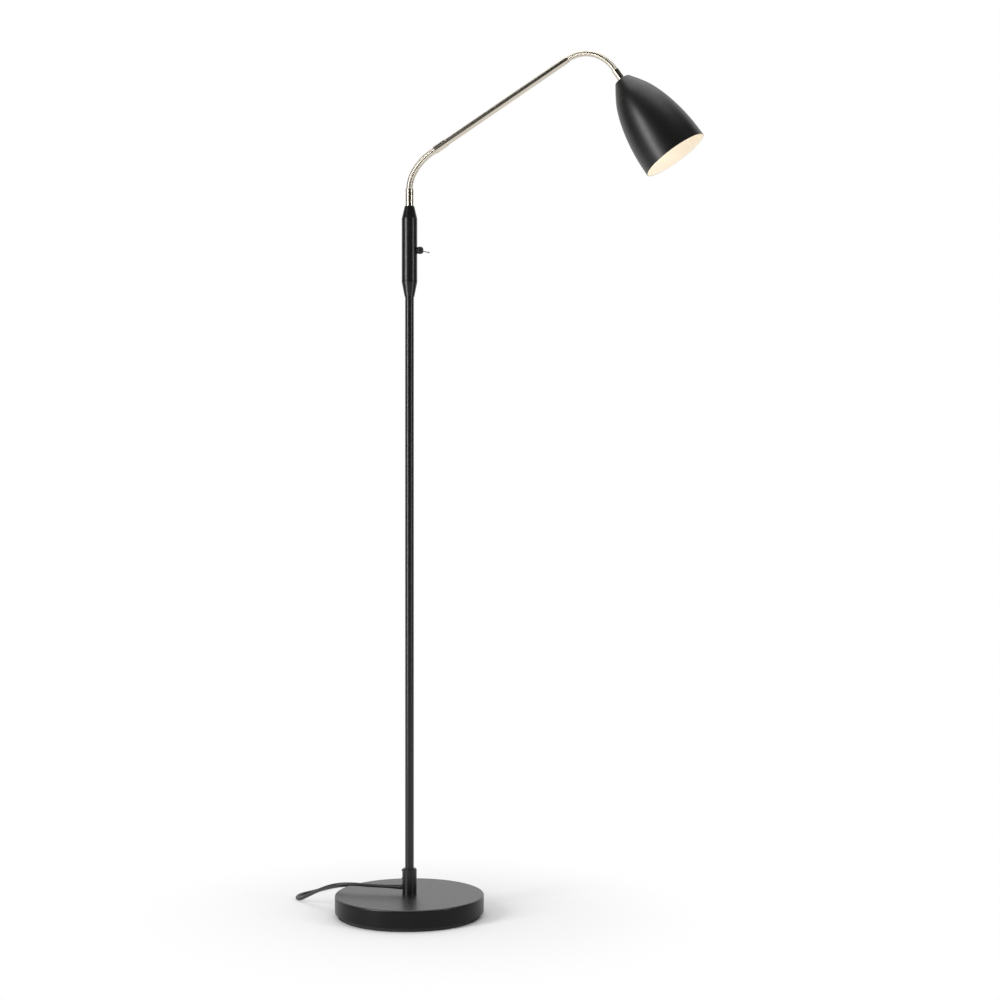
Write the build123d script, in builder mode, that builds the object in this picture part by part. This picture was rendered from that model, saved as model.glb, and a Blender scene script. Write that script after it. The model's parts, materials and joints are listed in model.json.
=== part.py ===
"""Gooseneck reading floor lamp, in millimetres.

Z is up and the floor is z = 0, under the middle of the round base. The arm leans towards +X, the
switch lever faces +X, and the mains cord leaves towards -X.

The long tubes are true cylinders. Short turned pieces are made of narrow flats (turned), which stay
about a tenth of a millimetre of the round form on the small pieces and a quarter on the base and shade.
"""

from build123d import *
import math
import os

os.makedirs("parts", exist_ok=True)

# ---- driving dimensions ---------------------------------------------------------------------------

# Base
BASE_RADIUS = 119.0
FOOT_RADIUS = 112.0
FOOT_THICKNESS = 7.0
COVER_HEIGHT = 27.0
COVER_WALL = 1.5
COVER_EDGE = 2.6
WEIGHT_RADIUS = 114.0
WEIGHT_THICKNESS = 14.0
WEIGHT_BOSS_RADIUS = 22.0
WEIGHT_RIB = 8.0
STUD_RADIUS = 5.0
STUD_BORE_RADIUS = 3.4
NUT_RADIUS = 10.0
NUT_THICKNESS = 4.0
WASHER_RADIUS = 14.0
WASHER_THICKNESS = 1.5

# Collar and pole
COLLAR_HEIGHT = 41.0
COLLAR_RADIUS = 11.6
COLLAR_EDGE = 0.8
COLLAR_SEAT_DEPTH = 25.0
CORD_EXIT_HEIGHT = 44.4
SET_SCREW_HEIGHTS = (58.1, 71.5)
SET_SCREW_RADIUS = 1.65
SET_SCREW_PROUD = 1.0
POLE_RADIUS = 7.0
POLE_WALL = 1.0
POLE_JOINT_HEIGHT = 518.0
POLE_TOP_HEIGHT = 989.0
CAP_SEAT_DEPTH = 14.0
JOINER_LENGTH = 40.0
JOINER_WALL = 1.5

# Switch housing
HOUSING_RADIUS = 12.5
HOUSING_WALL = 1.5
HOUSING_SMALL_END = 7.75
LOWER_CAP_HEIGHT = 24.0
HOUSING_LENGTH = 101.0
UPPER_CAP_HEIGHT = 20.0
SPIGOT_LENGTH = 8.0
SWITCH_HEIGHT = 1063.0
SWITCH_BODY_DEPTH = 10.0
SWITCH_BODY_WIDTH = 8.0
SWITCH_BODY_TALL = 13.0
SWITCH_BODY_FRONT_X = 9.0
SWITCH_NUT_RADIUS = 6.0
SWITCH_NUT_INNER_X = 14.0
SWITCH_NUT_OUTER_X = 22.0
BUSHING_RADIUS = 2.95
BUSHING_END_X = 19.5
LEVER_PIVOT_X = 16.0
LEVER_HUB_RADIUS = 1.3
LEVER_MOUTH_RADIUS = 2.6
LEVER_REACH = 17.5
LEVER_RADIUS = 0.95
LEVER_TIP_RADIUS = 1.25
LEVER_TILT = 14.0

# Goosenecks: how far each pivot bends at rest, in degrees, from the pole end to the far end
LINK_PITCH = 14.0
LOWER_NECK_BENDS = (15.8, 12.9, 9.4, 9.4, 10.2)
UPPER_NECK_BENDS = (15.9, 15.9, 15.9, 14.8, 12.6, 12.6)
LOWER_NECK_LEAD = 6.0
LOWER_NECK_TAIL = 14.0
UPPER_NECK_LEAD = 7.2
UPPER_NECK_TAIL = 9.5
LOWER_NECK_RADIUS = 5.35
UPPER_NECK_RADIUS = 4.75
RIB_DEPTH = 0.55
RIB_PITCH = 3.2
NECK_BORE_RADIUS = 1.8
BALL_RATIO = 1.13
SOCKET_CLEARANCE = 0.4

# Arm
LOWER_FERRULE_RADIUS = 6.5
LOWER_FERRULE_LENGTH = 28.0
FERRULE_SPIGOT_RADIUS = 5.0
FERRULE_SPIGOT_LENGTH = 10.0
SLEEVE_RADIUS = 6.4
SLEEVE_LENGTH = 23.4
ARM_RADIUS = 5.5
ARM_WALL = 0.7
ARM_LENGTH = 240.8
UPPER_FERRULE_RADIUS = 5.6
UPPER_FERRULE_LENGTH = 19.0
STUB_RADIUS = 4.5
SHANK_DEPTH = 12.0

# Shade and lamp
SHADE_WALL = 1.0
SHADE_LENGTH = 147.0
SHADE_RADIUS = 53.3
SHADE_BANDS = 8
SHADE_CROWN = ((10.0, 0.0), (12.6, 1.3), (14.2, 4.4))
HOLDER_RADIUS = 14.0
HOLDER_START = 8.0
HOLDER_LENGTH = 42.0
HOLDER_FLOOR = 14.0
BULB_RADIUS = 22.5
BULB_NECK_RADIUS = 9.0
BULB_LENGTH = 52.0
BULB_CAP_RADIUS = 6.9
BULB_CAP_LENGTH = 25.0
CLAMP_NUT_RADIUS = 8.5
CLAMP_NUT_THICKNESS = 3.0

# Mains cord: it lies on axes turned from the arm, so that the hank is square behind the base
CORD_DIAMETER = 5.5
LEAD_RADIUS = 1.5
RELIEF_TIP_X = -34.0
RELIEF_PLUG_RADIUS = 3.55
RELIEF_SHOULDER_RADIUS = 3.9
RELIEF_TIP_RADIUS = 3.0
CORD_TURN = 10.8
HANK_CENTRE = (-12.0, 168.0)
HANK_HALF_RUN = 41.0
HANK_HALF_WIDTH = 26.1
HANK_STEP = 6.2
HANK_LAYER_STEP = 6.05
HANK_HALF_TURNS = 8
WAIST_INSET = 6.0
WAIST_RADIUS = 50.0
CLIMB_REACH = 34.0
HANK_LEAD_IN = 26.0
TAIL_LEAD_OUT = 15.0
TIE_THICKNESS = 0.9
TIE_GAP = 0.1
TIE_WIDTH = 5.0
PLUG_WIDTH = 35.0
PLUG_THICKNESS = 13.6
PLUG_LENGTH = 35.0
PLUG_NOSE = 17.0
PLUG_REAR_WIDTH = 12.0
PIN_RADIUS = 2.0
PIN_LENGTH = 18.0
PIN_SPACING = 18.6

FIT = 0.08
BASE_SIDES = 48
WEIGHT_SIDES = 24
SHADE_SIDES = 32
CAP_SIDES = 24
FERRULE_SIDES = 20
HUB_SIDES = 16
SMALL_SIDES = 12
NECK_SIDES = 12
CORD_SIDES = 4

# ---- heights that follow --------------------------------------------------------------------------

BASE_TOP = FOOT_THICKNESS + COVER_HEIGHT
COLLAR_TOP = BASE_TOP + COLLAR_HEIGHT
POLE_FOOT = COLLAR_TOP - COLLAR_SEAT_DEPTH
HOUSING_BOTTOM = POLE_TOP_HEIGHT + LOWER_CAP_HEIGHT
HOUSING_TOP = HOUSING_BOTTOM + HOUSING_LENGTH
FERRULE_BOTTOM = HOUSING_TOP + UPPER_CAP_HEIGHT
FERRULE_TOP = FERRULE_BOTTOM + LOWER_FERRULE_LENGTH
POLE_BORE = POLE_RADIUS - POLE_WALL
HOUSING_BORE = HOUSING_RADIUS - HOUSING_WALL


# ---- helpers --------------------------------------------------------------------------------------

def save(piece, name):
    piece.label = name
    export_step(piece, f"parts/{name}.step")


def turned(plane, rings, sides, hollow=False, mode=Mode.ADD):
    """A turned form of narrow flats through (radius, height) rings along the plane's normal.

    A hollow one takes its whole section, outside and bore, as one closed round of rings.
    """
    turns = [math.tau * i / sides for i in range(sides)]
    loops = []
    for radius, height in rings:
        loops.append([plane.from_local_coords((radius * math.cos(a), radius * math.sin(a), height))
                      for a in turns])
    bands = list(zip(loops, loops[1:]))
    flats = []
    if hollow:
        bands.append((loops[-1], loops[0]))
    else:
        flats = [Face(Wire.make_polygon(loops[0])), Face(Wire.make_polygon(loops[-1]))]
    for one, other in bands:
        for i in range(sides):
            flats.append(Face(Wire.make_polygon((one[i - 1], one[i], other[i], other[i - 1]))))
    add(Solid(Shell(flats)), mode=mode)


def ring_of(inner, outer, low, high):
    """The four rings of a plain washer or tube."""
    return (inner, low), (outer, low), (outer, high), (inner, high)


def along(x, z, heading):
    """A plane across the arm at (x, z): its normal leans `heading` degrees above +X."""
    angle = math.radians(heading)
    return Plane(origin=(x, 0, z), x_dir=(0, 1, 0), z_dir=(math.cos(angle), 0, math.sin(angle)))


def step(x, z, heading, length):
    angle = math.radians(heading)
    return x + length * math.cos(angle), z + length * math.sin(angle)


def facing(x, height, direction=1):
    """A plane across the X axis at (x, height), facing +X or -X."""
    return Plane(origin=(x, 0, height), x_dir=(0, 1, 0), z_dir=(direction, 0, 0))


# ---- base -----------------------------------------------------------------------------------------

with BuildPart() as foot_pad:
    with BuildSketch():
        RegularPolygon(FOOT_RADIUS, BASE_SIDES)
    extrude(amount=FOOT_THICKNESS)
save(foot_pad.part, "foot_pad")

# a drawn cup, its top edge eased in two steps
COVER_INNER_RADIUS = BASE_RADIUS - COVER_WALL
COVER_UNDERSIDE = BASE_TOP - COVER_WALL
with BuildPart() as base_cover:
    turned(
        Plane.XY,
        ((STUD_RADIUS + FIT, BASE_TOP),
         (BASE_RADIUS - COVER_EDGE, BASE_TOP),
         (BASE_RADIUS - 0.3 * COVER_EDGE, BASE_TOP - 0.3 * COVER_EDGE),
         (BASE_RADIUS, BASE_TOP - COVER_EDGE),
         (BASE_RADIUS, FOOT_THICKNESS),
         (COVER_INNER_RADIUS, FOOT_THICKNESS),
         (COVER_INNER_RADIUS, COVER_UNDERSIDE),
         (STUD_RADIUS + FIT, COVER_UNDERSIDE)),
        BASE_SIDES, hollow=True)
save(base_cover.part, "base_cover")

# a cast disc with a boss and six ribs that carry the cover, recessed below for the nut
WEIGHT_TOP = FOOT_THICKNESS + WEIGHT_THICKNESS
NUT_RECESS_DEPTH = NUT_THICKNESS + WASHER_THICKNESS + 1.0
with BuildPart() as base_weight:
    with BuildSketch(Plane.XY.offset(FOOT_THICKNESS)):
        RegularPolygon(WEIGHT_RADIUS, WEIGHT_SIDES)
    extrude(amount=WEIGHT_THICKNESS)
    with BuildSketch(Plane.XY.offset(WEIGHT_TOP)):
        RegularPolygon(WEIGHT_BOSS_RADIUS, FERRULE_SIDES)
        with PolarLocations(WEIGHT_RADIUS / 2, 6):
            Rectangle(WEIGHT_RADIUS - WEIGHT_RIB, WEIGHT_RIB)
    extrude(amount=COVER_UNDERSIDE - WEIGHT_TOP)
    with BuildSketch(Plane.XY.offset(FOOT_THICKNESS)):
        RegularPolygon(WASHER_RADIUS + 1, FERRULE_SIDES)
    extrude(amount=NUT_RECESS_DEPTH, mode=Mode.SUBTRACT)
    with BuildSketch(Plane.XY.offset(FOOT_THICKNESS)):
        RegularPolygon(STUD_RADIUS + FIT, SMALL_SIDES)
    extrude(amount=COVER_HEIGHT, mode=Mode.SUBTRACT)
save(base_weight.part, "base_weight")

NUT_TOP = FOOT_THICKNESS + NUT_RECESS_DEPTH - WASHER_THICKNESS
NUT_BOTTOM = NUT_TOP - NUT_THICKNESS
with BuildPart() as fixing_washer:
    turned(Plane.XY, ring_of(STUD_RADIUS + FIT, WASHER_RADIUS, NUT_TOP, NUT_TOP + WASHER_THICKNESS),
           SMALL_SIDES, hollow=True)
save(fixing_washer.part, "fixing_washer")

with BuildPart() as fixing_nut:
    with BuildSketch(Plane.XY.offset(NUT_BOTTOM)):
        RegularPolygon(NUT_RADIUS, 6)
        RegularPolygon(STUD_RADIUS + FIT, SMALL_SIDES, mode=Mode.SUBTRACT)
    extrude(amount=NUT_THICKNESS)
save(fixing_nut.part, "fixing_nut")

STUD_TOP = CORD_EXIT_HEIGHT - 5.0
with BuildPart() as fixing_stud:
    turned(Plane.XY, ring_of(STUD_BORE_RADIUS, STUD_RADIUS, NUT_BOTTOM - 0.5, STUD_TOP),
           SMALL_SIDES, hollow=True)
save(fixing_stud.part, "fixing_stud")

# ---- collar ---------------------------------------------------------------------------------------

with BuildPart() as collar:
    turned(
        Plane.XY,
        ((STUD_RADIUS + FIT, BASE_TOP),
         (COLLAR_RADIUS, BASE_TOP),
         (COLLAR_RADIUS, COLLAR_TOP - COLLAR_EDGE),
         (COLLAR_RADIUS - COLLAR_EDGE, COLLAR_TOP),
         (POLE_RADIUS + FIT, COLLAR_TOP),
         (POLE_RADIUS + FIT, POLE_FOOT),
         (STUD_RADIUS + FIT, POLE_FOOT)),
        CAP_SIDES, hollow=True)
    with BuildSketch(Plane.YZ):
        with Locations(*((0, height) for height in SET_SCREW_HEIGHTS)):
            RegularPolygon(SET_SCREW_RADIUS + FIT, SMALL_SIDES)
        with Locations((0, CORD_EXIT_HEIGHT)):
            RegularPolygon(RELIEF_PLUG_RADIUS + FIT, SMALL_SIDES)
    extrude(amount=-COLLAR_RADIUS - 1, mode=Mode.SUBTRACT)
save(collar.part, "collar")

SCREW_OUTER_X = COLLAR_RADIUS + SET_SCREW_PROUD
with BuildPart() as set_screws:
    with BuildSketch(Plane.YZ.offset(-POLE_RADIUS)):
        with Locations(*((0, height) for height in SET_SCREW_HEIGHTS)):
            RegularPolygon(SET_SCREW_RADIUS, SMALL_SIDES)
    extrude(amount=POLE_RADIUS - SCREW_OUTER_X)
    # hexagon sockets
    with BuildSketch(Plane.YZ.offset(-SCREW_OUTER_X)):
        with Locations(*((0, height) for height in SET_SCREW_HEIGHTS)):
            RegularPolygon(0.55 * SET_SCREW_RADIUS, 6)
    extrude(amount=SET_SCREW_RADIUS, mode=Mode.SUBTRACT)
save(set_screws.part, "set_screws")

# tapered strain relief: a plug through the collar's wall, a shoulder, then a long cone
RELIEF_INNER_X = -6.0
RELIEF_WALL_END = COLLAR_RADIUS + RELIEF_INNER_X
RELIEF_LENGTH = RELIEF_INNER_X - RELIEF_TIP_X
with BuildPart() as strain_relief:
    turned(
        facing(RELIEF_INNER_X, CORD_EXIT_HEIGHT, -1),
        ((LEAD_RADIUS + FIT, 0.0),
         (RELIEF_PLUG_RADIUS, 0.0),
         (RELIEF_PLUG_RADIUS, RELIEF_WALL_END + 0.2),
         (RELIEF_SHOULDER_RADIUS, RELIEF_WALL_END + 0.6),
         (RELIEF_SHOULDER_RADIUS, RELIEF_WALL_END + 4.0),
         (RELIEF_TIP_RADIUS, RELIEF_LENGTH),
         (LEAD_RADIUS + FIT, RELIEF_LENGTH)),
        SMALL_SIDES, hollow=True)
save(strain_relief.part, "strain_relief")

# ---- pole -----------------------------------------------------------------------------------------

POLE_EDGE = 0.3
with BuildPart() as lower_pole:
    with BuildSketch(Plane.XY.offset(POLE_FOOT)):
        Circle(POLE_RADIUS)
        Circle(POLE_BORE, mode=Mode.SUBTRACT)
    extrude(amount=POLE_JOINT_HEIGHT - POLE_FOOT)
    chamfer(lower_pole.edges().group_by(Axis.Z)[-1].sort_by(SortBy.RADIUS)[-1], POLE_EDGE)
save(lower_pole.part, "lower_pole")

with BuildPart() as upper_pole:
    with BuildSketch(Plane.XY.offset(POLE_JOINT_HEIGHT)):
        Circle(POLE_RADIUS)
        Circle(POLE_BORE, mode=Mode.SUBTRACT)
    extrude(amount=POLE_TOP_HEIGHT + CAP_SEAT_DEPTH - POLE_JOINT_HEIGHT)
save(upper_pole.part, "upper_pole")

JOINER_RADIUS = POLE_BORE - FIT
with BuildPart() as pole_joiner:
    turned(Plane.XY.offset(POLE_JOINT_HEIGHT),
           ring_of(JOINER_RADIUS - JOINER_WALL, JOINER_RADIUS, -JOINER_LENGTH / 2, JOINER_LENGTH / 2),
           SMALL_SIDES, hollow=True)
save(pole_joiner.part, "pole_joiner")

# ---- switch housing -------------------------------------------------------------------------------

SPIGOT_RADIUS = HOUSING_BORE - FIT
with BuildPart() as housing_lower_cap:
    turned(
        Plane.XY.offset(HOUSING_BOTTOM),
        ((POLE_RADIUS + FIT, -LOWER_CAP_HEIGHT),
         (HOUSING_SMALL_END, -LOWER_CAP_HEIGHT),
         (HOUSING_RADIUS, 0),
         (SPIGOT_RADIUS, 0),
         (SPIGOT_RADIUS, SPIGOT_LENGTH),
         (POLE_RADIUS + FIT, SPIGOT_LENGTH)),
        CAP_SIDES, hollow=True)
save(housing_lower_cap.part, "housing_lower_cap")

with BuildPart() as housing_tube:
    with BuildSketch(Plane.XY.offset(HOUSING_BOTTOM)):
        RegularPolygon(HOUSING_RADIUS, CAP_SIDES)
        RegularPolygon(HOUSING_BORE, CAP_SIDES, mode=Mode.SUBTRACT)
    extrude(amount=HOUSING_LENGTH)
    with BuildSketch(facing(0, SWITCH_HEIGHT)):
        RegularPolygon(BUSHING_RADIUS + FIT, SMALL_SIDES)
    extrude(amount=HOUSING_RADIUS + 1, mode=Mode.SUBTRACT)
save(housing_tube.part, "housing_tube")

with BuildPart() as housing_upper_cap:
    turned(
        Plane.XY.offset(HOUSING_TOP),
        ((FERRULE_SPIGOT_RADIUS + FIT, -SPIGOT_LENGTH),
         (SPIGOT_RADIUS, -SPIGOT_LENGTH),
         (SPIGOT_RADIUS, 0),
         (HOUSING_RADIUS, 0),
         (HOUSING_SMALL_END, UPPER_CAP_HEIGHT),
         (FERRULE_SPIGOT_RADIUS + FIT, UPPER_CAP_HEIGHT)),
        CAP_SIDES, hollow=True)
save(housing_upper_cap.part, "housing_upper_cap")

SWITCH_BODY_REAR_X = SWITCH_BODY_FRONT_X - SWITCH_BODY_DEPTH
with BuildPart() as switch_body:
    with BuildSketch(facing(SWITCH_BODY_REAR_X, SWITCH_HEIGHT)):
        Rectangle(SWITCH_BODY_WIDTH, SWITCH_BODY_TALL)
    extrude(amount=SWITCH_BODY_DEPTH)
    with BuildSketch(facing(SWITCH_BODY_FRONT_X, SWITCH_HEIGHT)):
        RegularPolygon(BUSHING_RADIUS, SMALL_SIDES)
    extrude(amount=BUSHING_END_X - SWITCH_BODY_FRONT_X)
    # seat for the lever's hub, and the flared mouth that the lever swings in
    with BuildSketch(Plane.XZ):
        with Locations((LEVER_PIVOT_X, SWITCH_HEIGHT)):
            RegularPolygon(LEVER_HUB_RADIUS + FIT, HUB_SIDES)
    extrude(amount=LEVER_HUB_RADIUS, both=True, mode=Mode.SUBTRACT)
    turned(facing(LEVER_PIVOT_X, SWITCH_HEIGHT),
           ((LEVER_HUB_RADIUS, 0.4), (LEVER_MOUTH_RADIUS, BUSHING_END_X - LEVER_PIVOT_X)),
           HUB_SIDES, mode=Mode.SUBTRACT)
    # two solder tags
    with BuildSketch(facing(SWITCH_BODY_REAR_X, SWITCH_HEIGHT)):
        with GridLocations(0, 7, 1, 2):
            Rectangle(2.4, 0.8)
    extrude(amount=-4)
save(switch_body.part, "switch_body")

with BuildPart() as switch_nut:
    turned(
        facing(SWITCH_NUT_INNER_X, SWITCH_HEIGHT),
        ((BUSHING_RADIUS + FIT, 0),
         (SWITCH_NUT_RADIUS, 0),
         (SWITCH_NUT_RADIUS, SWITCH_NUT_OUTER_X - SWITCH_NUT_INNER_X - 0.8),
         (SWITCH_NUT_RADIUS - 0.8, SWITCH_NUT_OUTER_X - SWITCH_NUT_INNER_X),
         (BUSHING_RADIUS + FIT, SWITCH_NUT_OUTER_X - SWITCH_NUT_INNER_X)),
        SMALL_SIDES, hollow=True)
save(switch_nut.part, "switch_nut")

with BuildPart() as switch_washer:
    turned(facing(HOUSING_RADIUS, SWITCH_HEIGHT),
           ring_of(BUSHING_RADIUS + FIT, 4.6, 0, SWITCH_NUT_INNER_X - HOUSING_RADIUS),
           SMALL_SIDES, hollow=True)
save(switch_washer.part, "switch_washer")

with BuildPart() as toggle_lever:
    with BuildSketch(Plane.XZ):
        with Locations((LEVER_PIVOT_X, SWITCH_HEIGHT)):
            RegularPolygon(LEVER_HUB_RADIUS, HUB_SIDES)
    extrude(amount=LEVER_HUB_RADIUS - 0.1, both=True)
    turned(
        along(LEVER_PIVOT_X, SWITCH_HEIGHT, -LEVER_TILT),
        ((LEVER_RADIUS, 0),
         (LEVER_RADIUS, 0.7 * LEVER_REACH),
         (LEVER_TIP_RADIUS, 0.9 * LEVER_REACH),
         (0.9 * LEVER_TIP_RADIUS, 0.97 * LEVER_REACH),
         (0.5 * LEVER_TIP_RADIUS, LEVER_REACH)),
        SMALL_SIDES)
save(toggle_lever.part, "toggle_lever")

# ---- wiring in the pole ---------------------------------------------------------------------------

SWITCH_TAG_X = SWITCH_BODY_REAR_X - 4.0 - LEAD_RADIUS


def lead(name, points, bend=8.0):
    with BuildPart() as wire:
        with BuildLine() as route:
            FilletPolyline(*points, radius=bend)
        with BuildSketch(Plane(origin=route.line @ 0, z_dir=route.line % 0)):
            RegularPolygon(LEAD_RADIUS, CORD_SIDES)
        sweep()
    save(wire.part, name)


lead("supply_lead", (
    (RELIEF_TIP_X, 0, CORD_EXIT_HEIGHT), (0, 0, CORD_EXIT_HEIGHT), (0, 0, SWITCH_HEIGHT - 40),
    (SWITCH_TAG_X, 0, SWITCH_HEIGHT - 20), (SWITCH_TAG_X, 0, SWITCH_HEIGHT - 3)), bend=5.0)
lead("switch_lead", (
    (SWITCH_TAG_X, 0, SWITCH_HEIGHT + 3), (SWITCH_TAG_X, 0, SWITCH_HEIGHT + 20),
    (0, 0, SWITCH_HEIGHT + 40), (0, 0, FERRULE_TOP)))

# ---- goosenecks -----------------------------------------------------------------------------------
# Each neck is a run of short ribbed lengths. Every length ends in a dome, centred on a pivot, that sits in
# the hollow end of the next, so that the pair can turn about the pivot any way without opening up.

with BuildPart() as lower_ferrule:
    turned(
        Plane.XY.offset(FERRULE_BOTTOM),
        ((LEAD_RADIUS + 1.0, -FERRULE_SPIGOT_LENGTH),
         (FERRULE_SPIGOT_RADIUS, -FERRULE_SPIGOT_LENGTH),
         (FERRULE_SPIGOT_RADIUS, 0),
         (LOWER_FERRULE_RADIUS, 0),
         (LOWER_FERRULE_RADIUS, LOWER_FERRULE_LENGTH - 0.5),
         (LOWER_FERRULE_RADIUS - 0.5, LOWER_FERRULE_LENGTH),
         (LOWER_NECK_RADIUS + FIT, LOWER_FERRULE_LENGTH),
         (LOWER_NECK_RADIUS + FIT, LOWER_FERRULE_LENGTH - SHANK_DEPTH),
         (LEAD_RADIUS + 1.0, LOWER_FERRULE_LENGTH - SHANK_DEPTH)),
        FERRULE_SIDES, hollow=True)
save(lower_ferrule.part, "lower_ferrule")


def rib_rings(radius, low, high):
    """Rings of V-shaped ribs between two heights, from a crest at the low end to a root at the high end."""
    halves = 2 * round((high - low) / RIB_PITCH) + 1
    rise = (high - low) / halves
    return [(radius - (RIB_DEPTH if i % 2 else 0.0), low + i * rise) for i in range(halves + 1)]


def ball_rings(ball, rim, bore):
    """A ball's (radius, height) rings from a rim radius in to a bore: rim, halfway and bore."""
    angles = (math.asin(rim / ball), 0.5 * (math.asin(rim / ball) + math.asin(bore / ball)),
              math.asin(bore / ball))
    return [(ball * math.sin(a), ball * math.cos(a)) for a in angles]


def neck_length(name, plane, radius, length, kind):
    """One length of neck, from the pivot behind it at height 0 to the pivot ahead at `length`.

    A "link" has a cup behind and a dome ahead. A "root" has a plain shank in place of its cup, and a
    "tip" one in place of its dome.
    """
    ball = BALL_RATIO * radius
    rim = radius - RIB_DEPTH
    dome = ball_rings(ball, rim, NECK_BORE_RADIUS)
    cup = ball_rings(ball + SOCKET_CLEARANCE, rim, NECK_BORE_RADIUS)
    low = 0.0 if kind == "root" else cup[0][1]
    high = length if kind == "tip" else length + dome[0][1]
    rings = rib_rings(radius, low, high)
    if kind == "tip":
        rings += [(radius, high), (radius, high + SHANK_DEPTH), (NECK_BORE_RADIUS, high + SHANK_DEPTH)]
    else:
        rings += [(r, length + h) for r, h in dome[1:]]
    if kind == "root":
        rings = [(NECK_BORE_RADIUS, -SHANK_DEPTH), (radius, -SHANK_DEPTH)] + rings
    else:
        rings += cup[::-1]
    with BuildPart() as piece:
        turned(plane, rings, NECK_SIDES, hollow=True)
    save(piece.part, name)


def neck(name, start, radius, lead_length, bends, tail_length):
    """All the lengths of one neck from `start`, given as (x, z, heading). It returns the end, likewise."""
    x, z, heading = start
    neck_length(f"{name}_root", along(*start), radius, lead_length, "root")
    x, z = step(x, z, heading, lead_length)
    for number, bend in enumerate(bends[:-1], 1):
        heading -= bend
        neck_length(f"{name}_link_{number}", along(x, z, heading), radius, LINK_PITCH, "link")
        print(f"{name} pivot {number} at x {x:.2f} z {z:.2f}, bisector {heading + bend / 2:.2f}")
        x, z = step(x, z, heading, LINK_PITCH)
    heading -= bends[-1]
    neck_length(f"{name}_tip", along(x, z, heading), radius, tail_length, "tip")
    print(f"{name} last pivot at x {x:.2f} z {z:.2f}, bisector {heading + bends[-1] / 2:.2f}")
    x, z = step(x, z, heading, tail_length)
    return x, z, heading


sleeve_start = neck("lower_neck", (0.0, FERRULE_TOP, 90.0), LOWER_NECK_RADIUS,
                    LOWER_NECK_LEAD, LOWER_NECK_BENDS, LOWER_NECK_TAIL)

# ---- arm ------------------------------------------------------------------------------------------

ARM_HEADING = sleeve_start[2]
with BuildPart() as sleeve:
    turned(along(*sleeve_start), ring_of(ARM_RADIUS + FIT, SLEEVE_RADIUS, 0, SLEEVE_LENGTH),
           FERRULE_SIDES, hollow=True)
save(sleeve.part, "sleeve")

ARM_SET_BACK = SHANK_DEPTH + 1.0
arm_start = (*step(*sleeve_start, ARM_SET_BACK), ARM_HEADING)
with BuildPart() as arm_tube:
    with BuildSketch(along(*arm_start)):
        Circle(ARM_RADIUS)
        Circle(ARM_RADIUS - ARM_WALL, mode=Mode.SUBTRACT)
    extrude(amount=ARM_LENGTH)
save(arm_tube.part, "arm_tube")

with BuildPart() as arm_lead:
    with BuildSketch(along(*arm_start)):
        RegularPolygon(LEAD_RADIUS, CORD_SIDES)
    extrude(amount=ARM_LENGTH - ARM_SET_BACK)
save(arm_lead.part, "arm_lead")

arm_end = (*step(*arm_start, ARM_LENGTH), ARM_HEADING)
head_start = neck("upper_neck", arm_end, UPPER_NECK_RADIUS,
                  UPPER_NECK_LEAD, UPPER_NECK_BENDS, UPPER_NECK_TAIL)

# ---- head -----------------------------------------------------------------------------------------

STUB_END = UPPER_FERRULE_LENGTH + HOLDER_START + 4.0
with BuildPart() as upper_ferrule:
    turned(
        along(*head_start),
        ((UPPER_NECK_RADIUS + FIT, 0),
         (UPPER_FERRULE_RADIUS, 0),
         (UPPER_FERRULE_RADIUS, UPPER_FERRULE_LENGTH),
         (STUB_RADIUS, UPPER_FERRULE_LENGTH),
         (STUB_RADIUS, STUB_END),
         (LEAD_RADIUS + 1.0, STUB_END),
         (LEAD_RADIUS + 1.0, SHANK_DEPTH),
         (UPPER_NECK_RADIUS + FIT, SHANK_DEPTH)),
        FERRULE_SIDES, hollow=True)
save(upper_ferrule.part, "upper_ferrule")

crown = along(*step(*head_start, UPPER_FERRULE_LENGTH), head_start[2])


def shade_outline():
    """(radius, depth) from the crown's edge to the mouth: a rounded crown, then one long easing curve."""
    rings = list(SHADE_CROWN)
    for i in range(2, SHADE_BANDS + 1):
        share = (i / SHADE_BANDS) ** 1.6
        swell = (1 - (1 - share) ** 2) ** 0.588
        rings.append((3.0 + (SHADE_RADIUS - 3.0) * swell, share * SHADE_LENGTH))
    return rings


def moved_in(rings, wall):
    """The inside of an outline: each slope moved in by the wall, from the first ring below the crown."""
    inside = []
    for (r0, h0), (r1, h1) in zip(rings[1:], rings[2:]):
        slope = math.atan2(h1 - h0, r1 - r0)
        inside.append((r0 - wall * math.sin(slope), h0 + wall * math.cos(slope)))
    inside.append((rings[-1][0] - wall, rings[-1][1]))
    return inside


STUB_HOLE_RADIUS = STUB_RADIUS + FIT
shade_inside = moved_in(shade_outline(), SHADE_WALL)
with BuildPart() as shade:
    turned(
        crown,
        [(STUB_HOLE_RADIUS, 0), *shade_outline(),
         *shade_inside[::-1], (STUB_HOLE_RADIUS, shade_inside[0][1])],
        SHADE_SIDES, hollow=True)
save(shade.part, "shade")

with BuildPart() as shade_clamp_nut:
    with BuildSketch(crown.offset(shade_inside[0][1])):
        RegularPolygon(CLAMP_NUT_RADIUS, 6)
        RegularPolygon(STUB_HOLE_RADIUS, FERRULE_SIDES, mode=Mode.SUBTRACT)
    extrude(amount=CLAMP_NUT_THICKNESS)
save(shade_clamp_nut.part, "shade_clamp_nut")

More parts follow.
